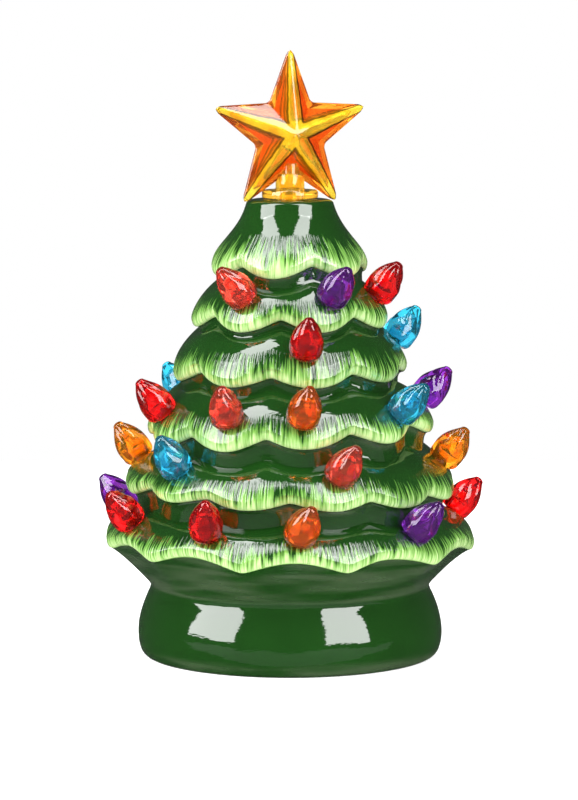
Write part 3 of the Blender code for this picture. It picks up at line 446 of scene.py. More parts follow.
def hand_wobble(place):
    """The slight unevenness of a hand-finished casting."""
    slow = noise.noise(place * 45.0) * 0.00035
    fine = noise.noise(place * 130.0 + Vector((7.0, 3.0, 5.0))) * 0.00010
    return slow + fine


def rim_wobble(place):
    """How far a hand-trimmed rim strays up or down at a place."""
    return noise.noise(Vector((place.x * 70.0, place.y * 70.0, place.z * 12.0))) * 0.0007


def glaze_body():
    """The one-piece body with its brushwork stored on the points."""
    rings = body_rings()
    outside = len(rings) - len(hollow_rings())
    bm = bmesh.new()
    ring_of = bm.verts.layers.int.new("ring")
    brush = bm.verts.layers.float.new("brush")
    needle = bm.verts.layers.float_vector.new("needle_space")
    profile = [(ring.radius, ring.height) for ring in rings]
    verts = [bm.verts.new((radius, 0.0, height)) for radius, height in profile]
    for number, vert in enumerate(verts):
        vert[ring_of] = number
    edges = [bm.edges.new(pair) for pair in zip(verts, verts[1:] + verts[:1])]
    bmesh.ops.spin(bm, geom=verts + edges, axis=(0, 0, 1), cent=(0, 0, 0),
                   angle=math.tau, steps=settings().segments, use_merge=True)
    for vert in bm.verts:
        number = vert[ring_of]
        ring = rings[number]
        azimuth = math.degrees(math.atan2(vert.co.x, -vert.co.y))
        radius, height = ring.radius, ring.height
        for index, share in ring.shares.items():
            tier = TIERS[index]
            depth = notch(tier, azimuth) * share
            radius -= tier.depth * depth
            height += tier.rise * depth
            height += tier.sway * math.sin(math.radians(azimuth - tier.sway_phase)) * share
        place = around(azimuth, radius, height)
        if number < outside and height > 0.002:
            place += Vector((place.x, place.y, 0.0)).normalized() * hand_wobble(place)
            rim = sum(ring.shares.values())
            place.z += rim * rim_wobble(place)
        vert.co = place
        vert[brush] = ring.painted
        if ring.tier is not None:
            reach = TIERS[ring.tier].rim_radius
            vert[needle] = around(azimuth, reach, ring.distance)
    return finish_mesh(bm, "glazed_body", 60.0)


def glaze_material():
    """Dark green under clear glaze, with light needles brushed up from every rim."""
    tree = settings()
    nodes = Nodes("green_glaze")
    nodes.set(Roughness=0.05, IOR=1.6)
    strokes = nodes.attribute("needle_space").outputs["Vector"]
    brush = nodes.attribute("brush").outputs["Fac"]
    across = 1.0 / tree.stroke_width
    along = 1.0 / tree.stroke_length
    fine = nodes.noise(nodes.mapped(strokes, (across, across, along)), 1.0, 1.0, 0.5)
    broad = nodes.noise(nodes.mapped(strokes, (across * 0.28, across * 0.28, along * 0.4)), 1.0)
    thin = nodes.noise(nodes.mapped(strokes, (across * 2.0, across * 2.0, along * 0.9)), 1.0)
    pattern = nodes.maths("MULTIPLY_ADD", fine, 1.7, -0.85)
    pattern = nodes.maths("MULTIPLY_ADD", nodes.maths("SUBTRACT", broad, 0.5), 1.0, pattern)
    pattern = nodes.maths("MULTIPLY_ADD", nodes.maths("SUBTRACT", thin, 0.5), 0.8, pattern)
    # the loaded brush leaves a solid band at the rim, and splits into needles above it
    split = nodes.ramp(brush, ((0.0, (1, 1, 1)), (0.72, (0.95, 0.95, 0.95)),
                               (0.93, (0.30, 0.30, 0.30))))
    load = nodes.maths("MULTIPLY_ADD", pattern, split, brush)
    tone = nodes.maths("MULTIPLY_ADD", pattern, 0.55, brush)
    paint = nodes.ramp(tone, ((0.18, tree.mid_green), (0.66, tree.leaf_green),
                              (1.02, tree.tip_green)))
    mottle = nodes.noise(nodes.object_space(), 60.0, 3.0)
    deep = nodes.mix(mottle, tuple(0.7 * part for part in tree.deep_green),
                     tuple(1.3 * part for part in tree.deep_green))
    inside = nodes.ramp(brush, ((0.0, (0, 0, 0)), (0.10, (1, 1, 1))))
    cover = nodes.maths("MULTIPLY", nodes.ramp(load, ((0.28, (0, 0, 0)), (0.62, (1, 1, 1)))),
                        inside)
    # painted reflection: down-facing surfaces under the rims are tinted grey-green in streaks,
    # standing in for the reflection of the floor
    lean = nodes.add("ShaderNodeSeparateXYZ")
    nodes.link(nodes.add("ShaderNodeNewGeometry").outputs["Normal"], lean.inputs["Vector"])
    down = nodes.ramp(nodes.maths("MULTIPLY", lean.outputs["Z"], -1.0),
                      ((0.10, (0, 0, 0)), (0.40, (1, 1, 1))))
    reflection_streaks = nodes.noise(nodes.mapped(nodes.object_space(), (30.0, 30.0, 260.0)), 1.0)
    painted_underside_reflection = nodes.maths("MULTIPLY", down, nodes.ramp(reflection_streaks, ((0.42, (0.05, 0.05, 0.05)),
                                                                 (0.60, (0.95, 0.95, 0.95)))))
    deep = nodes.mix(painted_underside_reflection, deep, tuple(tree.underside_reflection_green))
    nodes.link(nodes.mix(cover, deep, paint), nodes.shader.inputs["Base Color"])
    relief = nodes.maths("MULTIPLY", load, inside)
    orange_peel = nodes.noise(nodes.mapped(nodes.object_space(), (110.0, 110.0, 420.0)), 1.0, 3.0)
    normal = nodes.bump(orange_peel, 0.16, 0.0006)
    nodes.link(nodes.bump(relief, 0.28, 0.0003, normal), nodes.shader.inputs["Normal"])
    return nodes.material


# ---------------------------------------------------------------- bulbs
def bulb_frame(node_name):
    """A CAD bulb's own frame: +Z along its axis, its seat on the glaze at the origin."""
    mesh = frame["nodes"][node_name].data
    points = [vert.co.copy() for vert in mesh.vertices]
    centre = sum(points, Vector()) / len(points)
    tip = max(points, key=lambda point: (point - centre).length)
    far = max(points, key=lambda point: (point - tip).length)
    if tip.z < far.z:
        tip, far = far, tip
    ends = []
    for end in (tip, far):
        near = sorted(points, key=lambda point: (point - end).length)
        cap = [point for point in near if abs((point - end).dot((tip - far).normalized())) < 0.0006
               and (point - end).length < 0.0045]
        ends.append(sum(cap, Vector()) / len(cap))
    axis = (ends[0] - ends[1]).normalized()
    base = min((point - ends[1]).dot(axis) for point in points)
    seat = ends[1] + axis * (base + BULB_PEG_LENGTH)
    return Matrix.Translation(seat) @ axis.to_track_quat("Z", "Y").to_matrix().to_4x4()


def bulb_radius(station):
    """The bulb's outer radius along its length: rounded foot, full belly, drawn-out tip."""
    share = station / BULB_LENGTH
    foot = min(station / BULB_FOOT_LENGTH, 1.0)
    foot = BULB_FOOT_SHARE + (1.0 - BULB_FOOT_SHARE) * math.sqrt(1.0 - (1.0 - foot) ** 2)
    if share < BULB_BELLY:
        return BULB_RADIUS * foot * (0.955 + 0.045 * math.sin(share / BULB_BELLY * math.pi / 2))
    taper = (share - BULB_BELLY) / (1.0 - BULB_BELLY)
    return BULB_RADIUS * (1.0 - BULB_TAPER * taper ** 1.9)


def bulb_outer(bm, segments=56, rings=34):
    """The clear skin: a turned egg whose upper half is pinched into twisted folds."""
    profile = [(1e-5, -BULB_PEG_LENGTH), (BULB_PEG_RADIUS * 0.85, -BULB_PEG_LENGTH),
               (BULB_PEG_RADIUS, -BULB_PEG_LENGTH + 0.0003), (BULB_PEG_RADIUS, -0.0002)]
    for step in range(rings + 1):
        station = BULB_LENGTH * (step / rings) ** 1.1
        profile.append((bulb_radius(station), station))
    tip_radius = bulb_radius(BULB_LENGTH)
    for step in range(1, 6):
        angle = math.pi / 2 * step / 5
        profile.append((max(tip_radius * math.cos(angle), 1e-5),
                        BULB_LENGTH + tip_radius * 0.55 * math.sin(angle)))
    verts = spin_profile(bm, profile, segments)
    for vert in verts:
        station = vert.co.z
        if station <= 0.0:
            continue
        share = station / BULB_LENGTH
        grip = smooth_step((share - 0.30) / 0.35) * smooth_step((1.12 - share) / 0.25)
        angle = math.atan2(vert.co.y, vert.co.x)
        turn = FOLDS * angle + FOLD_TWIST * share
        fold = 1.0 - abs(math.sin(turn / 2.0))
        pinch = 1.0 - FOLD_DEPTH * grip * fold ** 1.6
        vert.co.x *= pinch
        vert.co.y *= pinch


def bulb_core(bm, sides=7):
    """The faceted hollow that opens from the peg."""
    first_station, radius = CORE_SECTIONS[0]
    bmesh.ops.create_circle(bm, cap_ends=True, segments=sides, radius=radius,
                            matrix=Matrix.Translation((0, 0, first_station)))
    face = bm.faces[:][0]
    for station, wider in CORE_SECTIONS[1:]:
        grown = bmesh.ops.extrude_face_region(bm, geom=[face])["geom"]
        for vert in (item for item in grown if isinstance(item, bmesh.types.BMVert)):
            vert.co = Vector((vert.co.x * wider / radius, vert.co.y * wider / radius, station))
        face = next(item for item in grown if isinstance(item, bmesh.types.BMFace))
        radius = wider


def bulb_shape():
    """Outer skin and faceted core of one bulb, in the bulb's own frame."""
    bm = bmesh.new()
    bulb_outer(bm)
    bmesh.ops.remove_doubles(bm, verts=bm.verts, dist=2e-5)
    bmesh.ops.recalc_face_normals(bm, faces=bm.faces)
    core = bmesh.new()
    bulb_core(core)
    bmesh.ops.bevel(core, geom=list(core.edges), offset=CORE_BEVEL, offset_type="OFFSET",
                    segments=1, profile=0.5, affect="EDGES", material=-1)
    bmesh.ops.recalc_face_normals(core, faces=core.faces)
    bmesh.ops.reverse_faces(core, faces=core.faces)
    hollow = bpy.data.meshes.new("bulb_core")
    core.to_mesh(hollow)
    core.free()
    bm.from_mesh(hollow)
    mesh = bpy.data.meshes.new("bulb")
    bm.to_mesh(mesh)
    bm.free()
    mesh.shade_smooth()
    mesh.set_sharp_from_angle(angle=math.radians(38))
    return mesh


def clear_plastic(name, tint, depth):
    """Tinted clear plastic with faint flow marks."""
    nodes = Nodes(name)
    nodes.set(Roughness=0.015, IOR=1.49, Transmission_Weight=0.93)
    flow = nodes.noise(nodes.object_space(), 250.0, 1.0)
    pale = tuple(min(1.0, part * 1.15 + 0.01) for part in tint)
    nodes.link(nodes.mix(flow, tint, pale), nodes.shader.inputs["Base Color"])
    ripple = nodes.noise(nodes.object_space(), 260.0, 0.0)
    nodes.link(nodes.bump(ripple, 0.04, 0.0002), nodes.shader.inputs["Normal"])
    absorb = nodes.add("ShaderNodeVolumeAbsorption")
    absorb.inputs["Color"].default_value = (*tint, 1.0)
    absorb.inputs["Density"].default_value = depth
    nodes.link(absorb.outputs["Volume"], nodes.output.inputs["Volume"])
    return nodes.material


# ---------------------------------------------------------------- star
def star_solid(bm, radius, inner_radius, depth):
    """Two ten-sided pyramids base to base: ridges to the points, valleys between them."""
    bmesh.ops.create_cone(bm, cap_ends=False, segments=10, radius1=radius, radius2=0.0,
                          depth=depth, matrix=Matrix.Translation((0, 0, depth / 2)))
    bmesh.ops.remove_doubles(bm, verts=bm.verts, dist=1e-6)
    rim = sorted((vert for vert in bm.verts if vert.co.z < depth / 2),
                 key=lambda vert: math.atan2(vert.co.x, vert.co.y))
    for step, vert in enumerate(rim):
        reach = inner_radius if step % 2 else radius
        angle = math.radians(36) * step
        vert.co = Vector((reach * math.sin(angle), reach * math.cos(angle), 0.0))
    half = list(bm.verts) + list(bm.edges) + list(bm.faces)
    bmesh.ops.mirror(bm, geom=half, merge_dist=1e-6, axis="Z")
    bmesh.ops.remove_doubles(bm, verts=bm.verts, dist=1e-6)


def star_place():
    """The star's frame from its CAD halves: upright, yawed, centred on the trunk."""
    low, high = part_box("star_front")
    low_rear, high_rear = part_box("star_rear")
    top = max(high[2], high_rear[2])
    bottom = min(low[2], low_rear[2])
    radius = (top - bottom) / (1.0 + math.cos(math.radians(36)))
    tree = settings()
    turn = Matrix.Rotation(math.radians(tree.star_yaw), 4, "Z")
    upright = Matrix.Rotation(math.pi / 2, 4, "X")
    return Matrix.Translation((0, 0, top - radius)) @ turn @ upright, radius


def ridge_distance(point):
    """How far a point of the star lies from the nearest ridge, in band widths."""
    reach = math.hypot(point.x, point.y)
    turn = math.radians(72)
    angle = math.atan2(point.x, point.y)
    off = abs(angle - turn * round(angle / turn))
    share = min(reach / settings().star_radius, 1.0)
    return reach * math.sin(off) / (RIDGE_BAND - RIDGE_BAND_TAPER * share)


def star_shape():
    """The moulded star: rounded ridges, points and rim around a sharp-edged hollow."""
    place, radius = star_place()
    tree = settings()
    inner = radius * tree.star_waist
    bm = bmesh.new()
    star_solid(bm, radius * STAR_POINT_GROWTH, inner * STAR_NOTCH_GROWTH,
               tree.star_depth * STAR_DEPTH_GROWTH)
    bmesh.ops.recalc_face_normals(bm, faces=bm.faces)
    bmesh.ops.bevel(bm, geom=list(bm.edges), offset=STAR_ROUNDING, offset_type="OFFSET",
                    segments=4, profile=0.5, affect="EDGES", material=-1)
    bmesh.ops.recalc_face_normals(bm, faces=bm.faces)
    hollow = bmesh.new()
    star_solid(hollow, radius * STAR_HOLLOW_POINT, inner * STAR_HOLLOW_NOTCH,
               tree.star_depth * STAR_HOLLOW_DEPTH)
    bmesh.ops.recalc_face_normals(hollow, faces=hollow.faces)
    bmesh.ops.bevel(hollow, geom=list(hollow.edges), offset=STAR_HOLLOW_ROUNDING,
                    offset_type="OFFSET", segments=2, profile=0.5, affect="EDGES", material=-1)
    bmesh.ops.recalc_face_normals(hollow, faces=hollow.faces)
    bmesh.ops.reverse_faces(hollow, faces=hollow.faces)
    shell = bpy.data.meshes.new("star_hollow")
    hollow.to_mesh(shell)
    hollow.free()
    bm.from_mesh(shell)
    bmesh.ops.triangulate(bm, faces=[face for face in bm.faces if len(face.verts) > 4])
    long_edges = [edge for edge in bm.edges if edge.calc_length() > 0.002]
    bmesh.ops.subdivide_edges(bm, edges=long_edges, cuts=9, use_grid_fill=True)
    bmesh.ops.triangulate(bm, faces=[face for face in bm.faces if len(face.verts) > 4])
    ridge = bm.verts.layers.float.new("ridge")
    for vert in bm.verts:
        vert[ridge] = ridge_distance(vert.co)
    bmesh.ops.transform(bm, matrix=place, verts=bm.verts)
    return finish_mesh(bm, "amber_star", 24.0, recalc=False)


def star_material():
    """Clear amber with painted light and shade: a yellow band along each ridge, dark shade lines
    beside it, orange towards the rim.
    """
    tree = settings()
    nodes = Nodes("amber_star")
    nodes.set(Roughness=0.015, IOR=1.49, Transmission_Weight=0.90)
    ridge = nodes.attribute("ridge").outputs["Fac"]
    wander = nodes.noise(nodes.object_space(), 260.0, 2.0)
    ridge = nodes.maths("MULTIPLY_ADD", nodes.maths("SUBTRACT", wander, 0.5), 0.35, ridge)
    # painted light and shade: the yellow band along each ridge stands in for light through the
    # hollow's refraction, and the dark lines beside it are painted shade
    band = nodes.ramp(ridge, ((0.60, tree.star_yellow), (0.70, tree.star_shade_line),
                              (0.84, tree.star_shade_line), (0.94, tree.star_orange)))
    cloud = nodes.noise(nodes.object_space(), 150.0, 1.0)
    clouded = nodes.ramp(cloud, ((0.40, (1.0, 1.0, 1.0)), (0.62, (0.85, 0.60, 0.32))))
    tint = nodes.add("ShaderNodeMix", data_type="RGBA", blend_type="MULTIPLY")
    tint.inputs["Factor"].default_value = 0.8
    nodes.link(band, tint.inputs["A"])
    nodes.link(clouded, tint.inputs["B"])
    nodes.link(tint.outputs["Result"], nodes.shader.inputs["Base Color"])
    ripple = nodes.noise(nodes.object_space(), 320.0, 1.0)
    nodes.link(nodes.bump(ripple, 0.08, 0.0003), nodes.shader.inputs["Normal"])
    return nodes.material


def stem_shape():
    """The turned stem with softened steps and the light's way up its middle."""
    low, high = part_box("star_stem")
    top, bottom = high[2], low[2]
    flange = bottom + STEM_PEG_LENGTH
    step = top - STEM_TOP_LENGTH
    shelf = step - STEM_SHELF
    profile = [(STEM_TOP_BORE_RADIUS, top), (STEM_TOP_RADIUS - EDGE, top),
               (STEM_TOP_RADIUS, top - EDGE), (STEM_TOP_RADIUS, step),
               (STEM_RADIUS - EDGE, step), (STEM_RADIUS, step - EDGE),
               (STEM_RADIUS, flange + 0.0028), (STEM_RADIUS + 0.0004, flange + 0.0024),
               (STEM_FLANGE_RADIUS - 0.0004, flange + 0.0023),
               (STEM_FLANGE_RADIUS, flange + 0.0018), (STEM_FLANGE_RADIUS, flange + 0.0003),
               (STEM_FLANGE_RADIUS - EDGE, flange), (STEM_PEG_RADIUS, flange),
               (STEM_PEG_RADIUS, bottom + 0.0003), (STEM_PEG_RADIUS - 0.0003, bottom),
               (STEM_BORE_RADIUS, bottom), (STEM_BORE_RADIUS, shelf),
               (STEM_TOP_BORE_RADIUS, shelf)]
    bm = bmesh.new()
    spin_profile(bm, profile, 64, closed=True)
    return finish_mesh(bm, "amber_stem", 40.0)


# ---------------------------------------------------------------- finishes of the light unit
def moulded_plastic(name, colour, grain=900.0, roughness=0.42):
    """Moulded plastic with a fine spark-eroded grain and faint flow shading."""
    nodes = Nodes(name)
    nodes.set(Roughness=roughness, IOR=1.5)
    space = nodes.object_space()
    shade = nodes.noise(space, 40.0, 3.0)
    pale = tuple(min(1.0, part * 1.3 + 0.01) for part in colour)
    nodes.link(nodes.mix(shade, colour, pale), nodes.shader.inputs["Base Color"])
    nodes.link(nodes.bump(nodes.noise(space, grain, 2.0), 0.25, 0.0001),
               nodes.shader.inputs["Normal"])
    return nodes.material


def plated_metal(name, colour):
    """Nickel plate with drawn lines and light tarnish."""
    nodes = Nodes(name)
    nodes.set(Metallic=1.0)
    space = nodes.object_space()
    lines = nodes.noise(nodes.mapped(space, (1600.0, 120.0, 120.0)), 1.0, 2.0)
    tarnish = nodes.noise(space, 260.0, 3.0)
    dull = tuple(part * 0.72 for part in colour)
    nodes.link(nodes.mix(tarnish, colour, dull), nodes.shader.inputs["Base Color"])
    rough = nodes.maths("MULTIPLY_ADD", lines, 0.25, 0.15)
    nodes.link(rough, nodes.shader.inputs["Roughness"])
    return nodes.material


def cell_sleeve():
    """A dark shrink sleeve with a copper band at the button end and no lettering."""
    nodes = Nodes("cell_sleeve")
    nodes.set(Roughness=0.22, IOR=1.5, Coat_Weight=0.5)
    space = nodes.object_space()
    separate = nodes.add("ShaderNodeSeparateXYZ")
    nodes.link(space, separate.inputs["Vector"])
    band = nodes.ramp(nodes.maths("MULTIPLY_ADD", separate.outputs["X"], 22.0, 0.5),
                      ((0.86, (0.012, 0.016, 0.05)), (0.865, (0.42, 0.20, 0.08))), "CONSTANT")
    wrinkle = nodes.noise(nodes.mapped(space, (60.0, 700.0, 700.0)), 1.0, 2.0)
    nodes.link(band, nodes.shader.inputs["Base Color"])
    nodes.link(nodes.bump(wrinkle, 0.1, 0.0002), nodes.shader.inputs["Normal"])
    return nodes.material


def board_mask():
    """Green solder mask with pale traces under it."""
    nodes = Nodes("board_mask")
    nodes.set(Roughness=0.28, IOR=1.5)
    space = nodes.object_space()
    cells = nodes.add("ShaderNodeTexVoronoi", feature="DISTANCE_TO_EDGE")
    cells.inputs["Scale"].default_value = 420.0
    nodes.link(space, cells.inputs["Vector"])
    traces = nodes.ramp(cells.outputs["Distance"], ((0.04, (0.03, 0.30, 0.10)),
                                                    (0.09, (0.01, 0.12, 0.04))))
    nodes.link(traces, nodes.shader.inputs["Base Color"])
    nodes.link(nodes.bump(cells.outputs["Distance"], 0.2, 0.0001), nodes.shader.inputs["Normal"])
    return nodes.material


FINISHES = {
    "black_plastic": lambda: moulded_plastic("black_plastic", (0.018, 0.018, 0.019)),
    "white_plastic": lambda: moulded_plastic("white_plastic", (0.72, 0.72, 0.70), roughness=0.35),
    "rubber": lambda: moulded_plastic("soft_rubber", (0.03, 0.03, 0.03), 500.0, 0.75),
    "nickel": lambda: plated_metal("nickel_plate", (0.72, 0.70, 0.66)),
    "cell_wrap": cell_sleeve,
    "board_green": board_mask,
    "lamp_epoxy": lambda: clear_plastic("lamp_epoxy", (0.96, 0.90, 0.66), 60.0),
    "red_wire": lambda: moulded_plastic("red_insulation", (0.50, 0.02, 0.02), 700.0),
    "black_wire": lambda: moulded_plastic("black_insulation", (0.02, 0.02, 0.02), 700.0),
}


# ---------------------------------------------------------------- settings
class TREE_PG_settings(bpy.types.PropertyGroup):
    """Sizes and colours of the tree's dressing."""

    segments: IntProperty(name="Segments", description="Divisions round the ceramic body",
                          default=360, min=48, max=480)
    stroke_width: FloatProperty(name="Stroke width", description="Width of a brushed needle",
                                default=0.00062, min=0.0001, unit="LENGTH")
    stroke_length: FloatProperty(name="Stroke length", description="Length of a brushed needle",
                                 default=0.0070, min=0.001, unit="LENGTH")
    deep_green: FloatVectorProperty(name="Deep green", description="Body colour under the glaze",
                                    default=(0.0050, 0.028, 0.0034), subtype="COLOR")
    # The next colour is a painted reflection: the grey-green given to down-facing surfaces under
    # the rims
    underside_reflection_green: FloatVectorProperty(name="Underside reflection", description="Painted reflection on the undersides",
                                    default=(0.030, 0.052, 0.023), subtype="COLOR")
    mid_green: FloatVectorProperty(name="Mid green", description="Thin end of the strokes",
                                   default=(0.026, 0.105, 0.012), subtype="COLOR")
    leaf_green: FloatVectorProperty(name="Leaf green", description="Body of the strokes",
                                    default=(0.115, 0.250, 0.048), subtype="COLOR")
    tip_green: FloatVectorProperty(name="Tip green", description="Loaded end at the rim",
                                   default=(0.360, 0.500, 0.210), subtype="COLOR")
    star_yaw: FloatProperty(name="Star yaw", description="Turn of the star about the trunk",
                            default=21.0)
    star_waist: FloatProperty(name="Star waist", description="Notch radius over point radius",
                              default=0.4516)
    star_depth: FloatProperty(name="Star depth", description="Depth of each half at the middle",
                              default=0.0062, unit="LENGTH")
    star_radius: FloatProperty(name="Star radius", description="Middle to point",
                               default=0.0248, unit="LENGTH")
    # The next two colours are painted light and shade: a yellow band along the ridges for light
    # through the hollow, and dark lines beside it
    star_yellow: FloatVectorProperty(name="Star yellow", description="Tint along the ridges",
                                     default=(1.0, 0.80, 0.07), subtype="COLOR")
    star_shade_line: FloatVectorProperty(name="Star shade line", description="Tint beside the ridge bands",
                                   default=(0.10, 0.055, 0.006), subtype="COLOR")
    star_orange: FloatVectorProperty(name="Star orange", description="Tint of the outer facets",
                                     default=(0.90, 0.23, 0.020), subtype="COLOR")


class TREE_PG_studio(bpy.types.PropertyGroup):
    """Camera, light and floor."""

    distance: FloatProperty(name="Camera distance", description="From the trunk, along the floor",
                            default=1.10, unit="LENGTH")
    eye_height: FloatProperty(name="Eye height", description="Of the camera above the floor",
                              default=0.20, unit="LENGTH")
    aim_height: FloatProperty(name="Aim height", description="Where the camera looks",
                              default=0.075, unit="LENGTH")
    lens: FloatProperty(name="Lens", description="Focal length on a 36 mm wide frame",
                        default=234.5)
    key: FloatProperty(name="Soft boxes", description="Brightness of the soft boxes",
                       default=10.5)
    card: FloatProperty(name="Card", description="Brightness of the floor card", default=0.22)
    fill: FloatProperty(name="Surroundings", description="Brightness of the room", default=0.22)
    gloss: FloatProperty(name="Reflected room", description="Brightness of the room in gloss",
                         default=0.06)


def settings():
    """The scene's tree settings."""
    return bpy.context.scene.tree_settings


# ---------------------------------------------------------------- operators
class TREE_OT_body(bpy.types.Operator):
    """Build the glazed ceramic body"""
    bl_idname = "tree.body"
    bl_label = "Glazed body"

    def execute(self, context):
        give(glaze_body(), glaze_material(), "green_glaze", "tree", "ceramic_tree")
        return {"FINISHED"}


class TREE_OT_bulbs(bpy.types.Operator):
    """Set a clear twisted bulb in every hole"""
    bl_idname = "tree.bulbs"
    bl_label = "Bulbs"

    def execute(self, context):
        shape = bulb_shape()
        plastics = {}
        for number, node in enumerate(sorted(n for n in frame["nodes"] if n.startswith("bulb_"))):
            colour = node.split("_")[2]
            if colour not in plastics:
                plastics[colour] = clear_plastic(f"{colour}_plastic", BULB_TINTS[colour],
                                                 BULB_DENSITY)
            mesh = shape.copy()
            turn = Matrix.Rotation(number * GOLDEN_ANGLE, 4, "Z")
            mesh.transform(bulb_frame(node) @ turn)
            piece = bpy.data.objects.new(f"flame_{node}", mesh)
            bpy.context.scene.collection.objects.link(piece)
            give(piece, plastics[colour], f"bulb_{colour}", "tree", node)
        return {"FINISHED"}


class TREE_OT_star(bpy.types.Operator):
    """Build the amber star and its stem"""
    bl_idname = "tree.star"
    bl_label = "Star topper"

    def execute(self, context):
        amber = clear_plastic("amber_plastic", STEM_TINT, STEM_DENSITY)
        give(star_shape(), star_material(), "star_amber", "star_topper", "star_front", "star_rear")
        give(stem_shape(), amber, "star_amber", "star_topper", "star_stem")
        return {"FINISHED"}


class TREE_OT_light_unit(bpy.types.Operator):
    """Finish the light unit's parts"""
    bl_idname = "tree.light_unit"
    bl_label = "Light unit"

    def execute(self, context):
        made = {}
        for part in frame["record"]["subparts"]:
            slot = part["material_slot"]
            if slot not in FINISHES:
                continue
            if slot not in made:
                made[slot] = FINISHES[slot]()
            node = frame["nodes"][part["node"]]
            node.data.materials.clear()
            node.data.materials.append(made[slot])
        return {"FINISHED"}


class TREE_OT_studio(bpy.types.Operator):
    """Set the pale floor, the soft boxes and the camera"""
    bl_idname = "tree.studio"
    bl_label = "Studio"

    def execute(self, context):
        studio = context.scene.tree_studio
        add_floor()
        add_world(studio.fill, studio.gloss)
        for name, azimuth, size in UPRIGHT_BOXES:
            add_upright_box(name, azimuth, size, studio.key)
        for name, azimuth, size in HIGH_BOXES:
            add_high_box(name, azimuth, size, studio.key)
        add_card(studio.card)
        add_camera(studio)
        context.scene.view_settings.view_transform = "Standard"
        return {"FINISHED"}


def add_floor():
    """A broad pale floor."""
    bm = bmesh.new()
    bmesh.ops.create_circle(bm, cap_ends=True, segments=96, radius=FLOOR_RADIUS)
    floor = finish_mesh(bm, "studio_floor")
    floor.visible_glossy = False
    nodes = Nodes("pale_floor")
    nodes.set(Roughness=0.6, Emission_Color=(1.0, 1.0, 1.0, 1.0), Emission_Strength=0.45)
    tone = nodes.noise(nodes.object_space(), 3.0, 2.0)
    nodes.link(nodes.mix(tone, (0.90, 0.90, 0.90), (0.94, 0.94, 0.94)),
               nodes.shader.inputs["Base Color"])
    # clear from below, so that the underside can be looked at
    behind = nodes.add("ShaderNodeNewGeometry").outputs["Backfacing"]
    nodes.link(nodes.maths("SUBTRACT", 1.0, behind), nodes.shader.inputs["Alpha"])
    floor.data.materials.append(nodes.material)


def add_card(brightness):
    """A pale card on the floor that only the gloss of the glaze sees."""
    bm = bmesh.new()
    bmesh.ops.create_grid(bm, x_segments=1, y_segments=1, size=0.5)
    place = Matrix.LocRotScale(Vector(CARD_PLACE), None, (*CARD_SIZE, 1.0))
    bmesh.ops.transform(bm, matrix=place, verts=bm.verts)
    card = finish_mesh(bm, "card_front")
    card.visible_camera = False
    card.visible_diffuse = False
    card.visible_shadow = False
    card.visible_transmission = False
    nodes = Nodes("pale_card")
    nodes.set(Roughness=0.9, Emission_Color=(1.0, 1.0, 1.0, 1.0), Emission_Strength=brightness)
    nodes.set(Base_Color=(0.0, 0.0, 0.0, 1.0))
    card.data.materials.append(nodes.material)


def add_world(fill, gloss):
    """White where it is seen directly, a dim room for its light, darker in reflections."""
    world = bpy.data.worlds.new("studio_room")
    bpy.context.scene.world = world
    world.use_nodes = True
    tree = world.node_tree
    background = tree.nodes["Background"]
    background.inputs["Color"].default_value = (1.0, 1.0, 1.0, 1.0)
    path = tree.nodes.new("ShaderNodeLightPath")
    seen, room, strength = (tree.nodes.new("ShaderNodeMath") for _ in range(3))
    seen.operation = strength.operation = "MAXIMUM"
    room.operation = "MULTIPLY_ADD"
    tree.links.new(path.outputs["Is Camera Ray"], seen.inputs[0])
    tree.links.new(path.outputs["Is Transmission Ray"], seen.inputs[1])
    tree.links.new(path.outputs["Is Glossy Ray"], room.inputs[0])
    room.inputs[1].default_value = gloss - fill
    room.inputs[2].default_value = fill
    tree.links.new(seen.outputs["Value"], strength.inputs[0])
    tree.links.new(room.outputs["Value"], strength.inputs[1])
    tree.links.new(strength.outputs["Value"], background.inputs["Strength"])


def add_area(name, place, turn, size, brightness):
    """A rectangular area light of a given brightness."""
    light = bpy.data.lights.new(name, "AREA")
    light.shape = "RECTANGLE"
    light.size, light.size_y = size
    light.energy = brightness * math.pi * size[0] * size[1]
    lamp = bpy.data.objects.new(name, light)
    bpy.context.scene.collection.objects.link(lamp)
    lamp.location = place
    lamp.rotation_euler = turn


def add_upright_box(name, azimuth, size, brightness):
    """An upright soft box facing the trunk."""
    add_area(name, around(azimuth, UPRIGHT_BOX_DISTANCE, UPRIGHT_BOX_HEIGHT),
             (math.pi / 2, 0.0, math.radians(azimuth)), size, brightness)


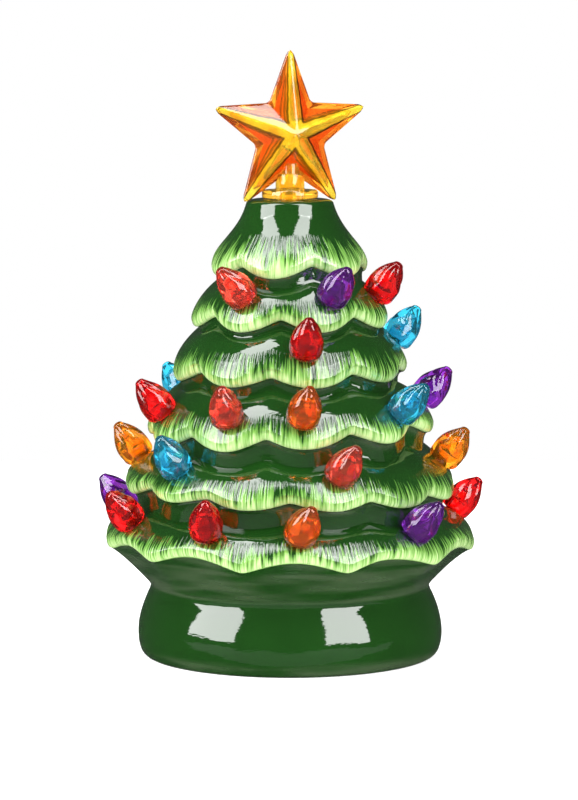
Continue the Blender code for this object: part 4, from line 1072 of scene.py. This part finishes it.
def add_high_box(name, azimuth, size, brightness):
    """A soft box above and in front of the tree, aimed at its middle."""
    rise = math.radians(HIGH_BOX_ELEVATION)
    place = around(azimuth, HIGH_BOX_DISTANCE * math.cos(rise), HIGH_BOX_DISTANCE * math.sin(rise))
    aim = Vector((0.0, 0.0, HIGH_BOX_AIM)) - place
    add_area(name, place, aim.to_track_quat("-Z", "Y").to_euler(), size, brightness)


def add_camera(studio):
    """A long lens a little above the tree, looking slightly down."""
    data = bpy.data.cameras.new("studio_camera")
    camera = bpy.data.objects.new("studio_camera", data)
    bpy.context.scene.collection.objects.link(camera)
    data.sensor_fit = "HORIZONTAL"
    data.sensor_width = 36.0
    data.lens = studio.lens
    data.shift_x = -0.0017
    data.clip_end = 20.0
    camera.location = (0.0, -studio.distance, studio.eye_height)
    pitch = math.atan2(studio.eye_height - studio.aim_height, studio.distance)
    camera.rotation_euler = (math.pi / 2 - pitch, 0.0, 0.0)
    bpy.context.scene.camera = camera


class TREE_PT_panel(bpy.types.Panel):
    """Lists the tree's steps in the sidebar"""
    bl_idname = "TREE_PT_panel"
    bl_label = "Tabletop tree"
    bl_space_type = "VIEW_3D"
    bl_region_type = "UI"
    bl_category = "Tree"

    def draw(self, context):
        for operator in OPERATORS:
            self.layout.operator(operator.bl_idname)
        for name in TREE_PG_settings.__annotations__:
            self.layout.prop(context.scene.tree_settings, name)
        for name in TREE_PG_studio.__annotations__:
            self.layout.prop(context.scene.tree_studio, name)


OPERATORS = (TREE_OT_body, TREE_OT_bulbs, TREE_OT_star, TREE_OT_light_unit, TREE_OT_studio)
CLASSES = (TREE_PG_settings, TREE_PG_studio, *OPERATORS, TREE_PT_panel)


def register():
    """Register the classes and the scene's settings."""
    for cls in CLASSES:
        bpy.utils.register_class(cls)
    bpy.types.Scene.tree_settings = PointerProperty(type=TREE_PG_settings)
    bpy.types.Scene.tree_studio = PointerProperty(type=TREE_PG_studio)


def unregister():
    """Undo register."""
    del bpy.types.Scene.tree_studio
    del bpy.types.Scene.tree_settings
    for cls in reversed(CLASSES):
        bpy.utils.unregister_class(cls)


def main():
    """Run every step in order."""
    register()
    bpy.ops.tree.body()
    bpy.ops.tree.bulbs()
    bpy.ops.tree.star()
    bpy.ops.tree.light_unit()
    bpy.ops.tree.studio()


if __name__ == "__main__":
    main()
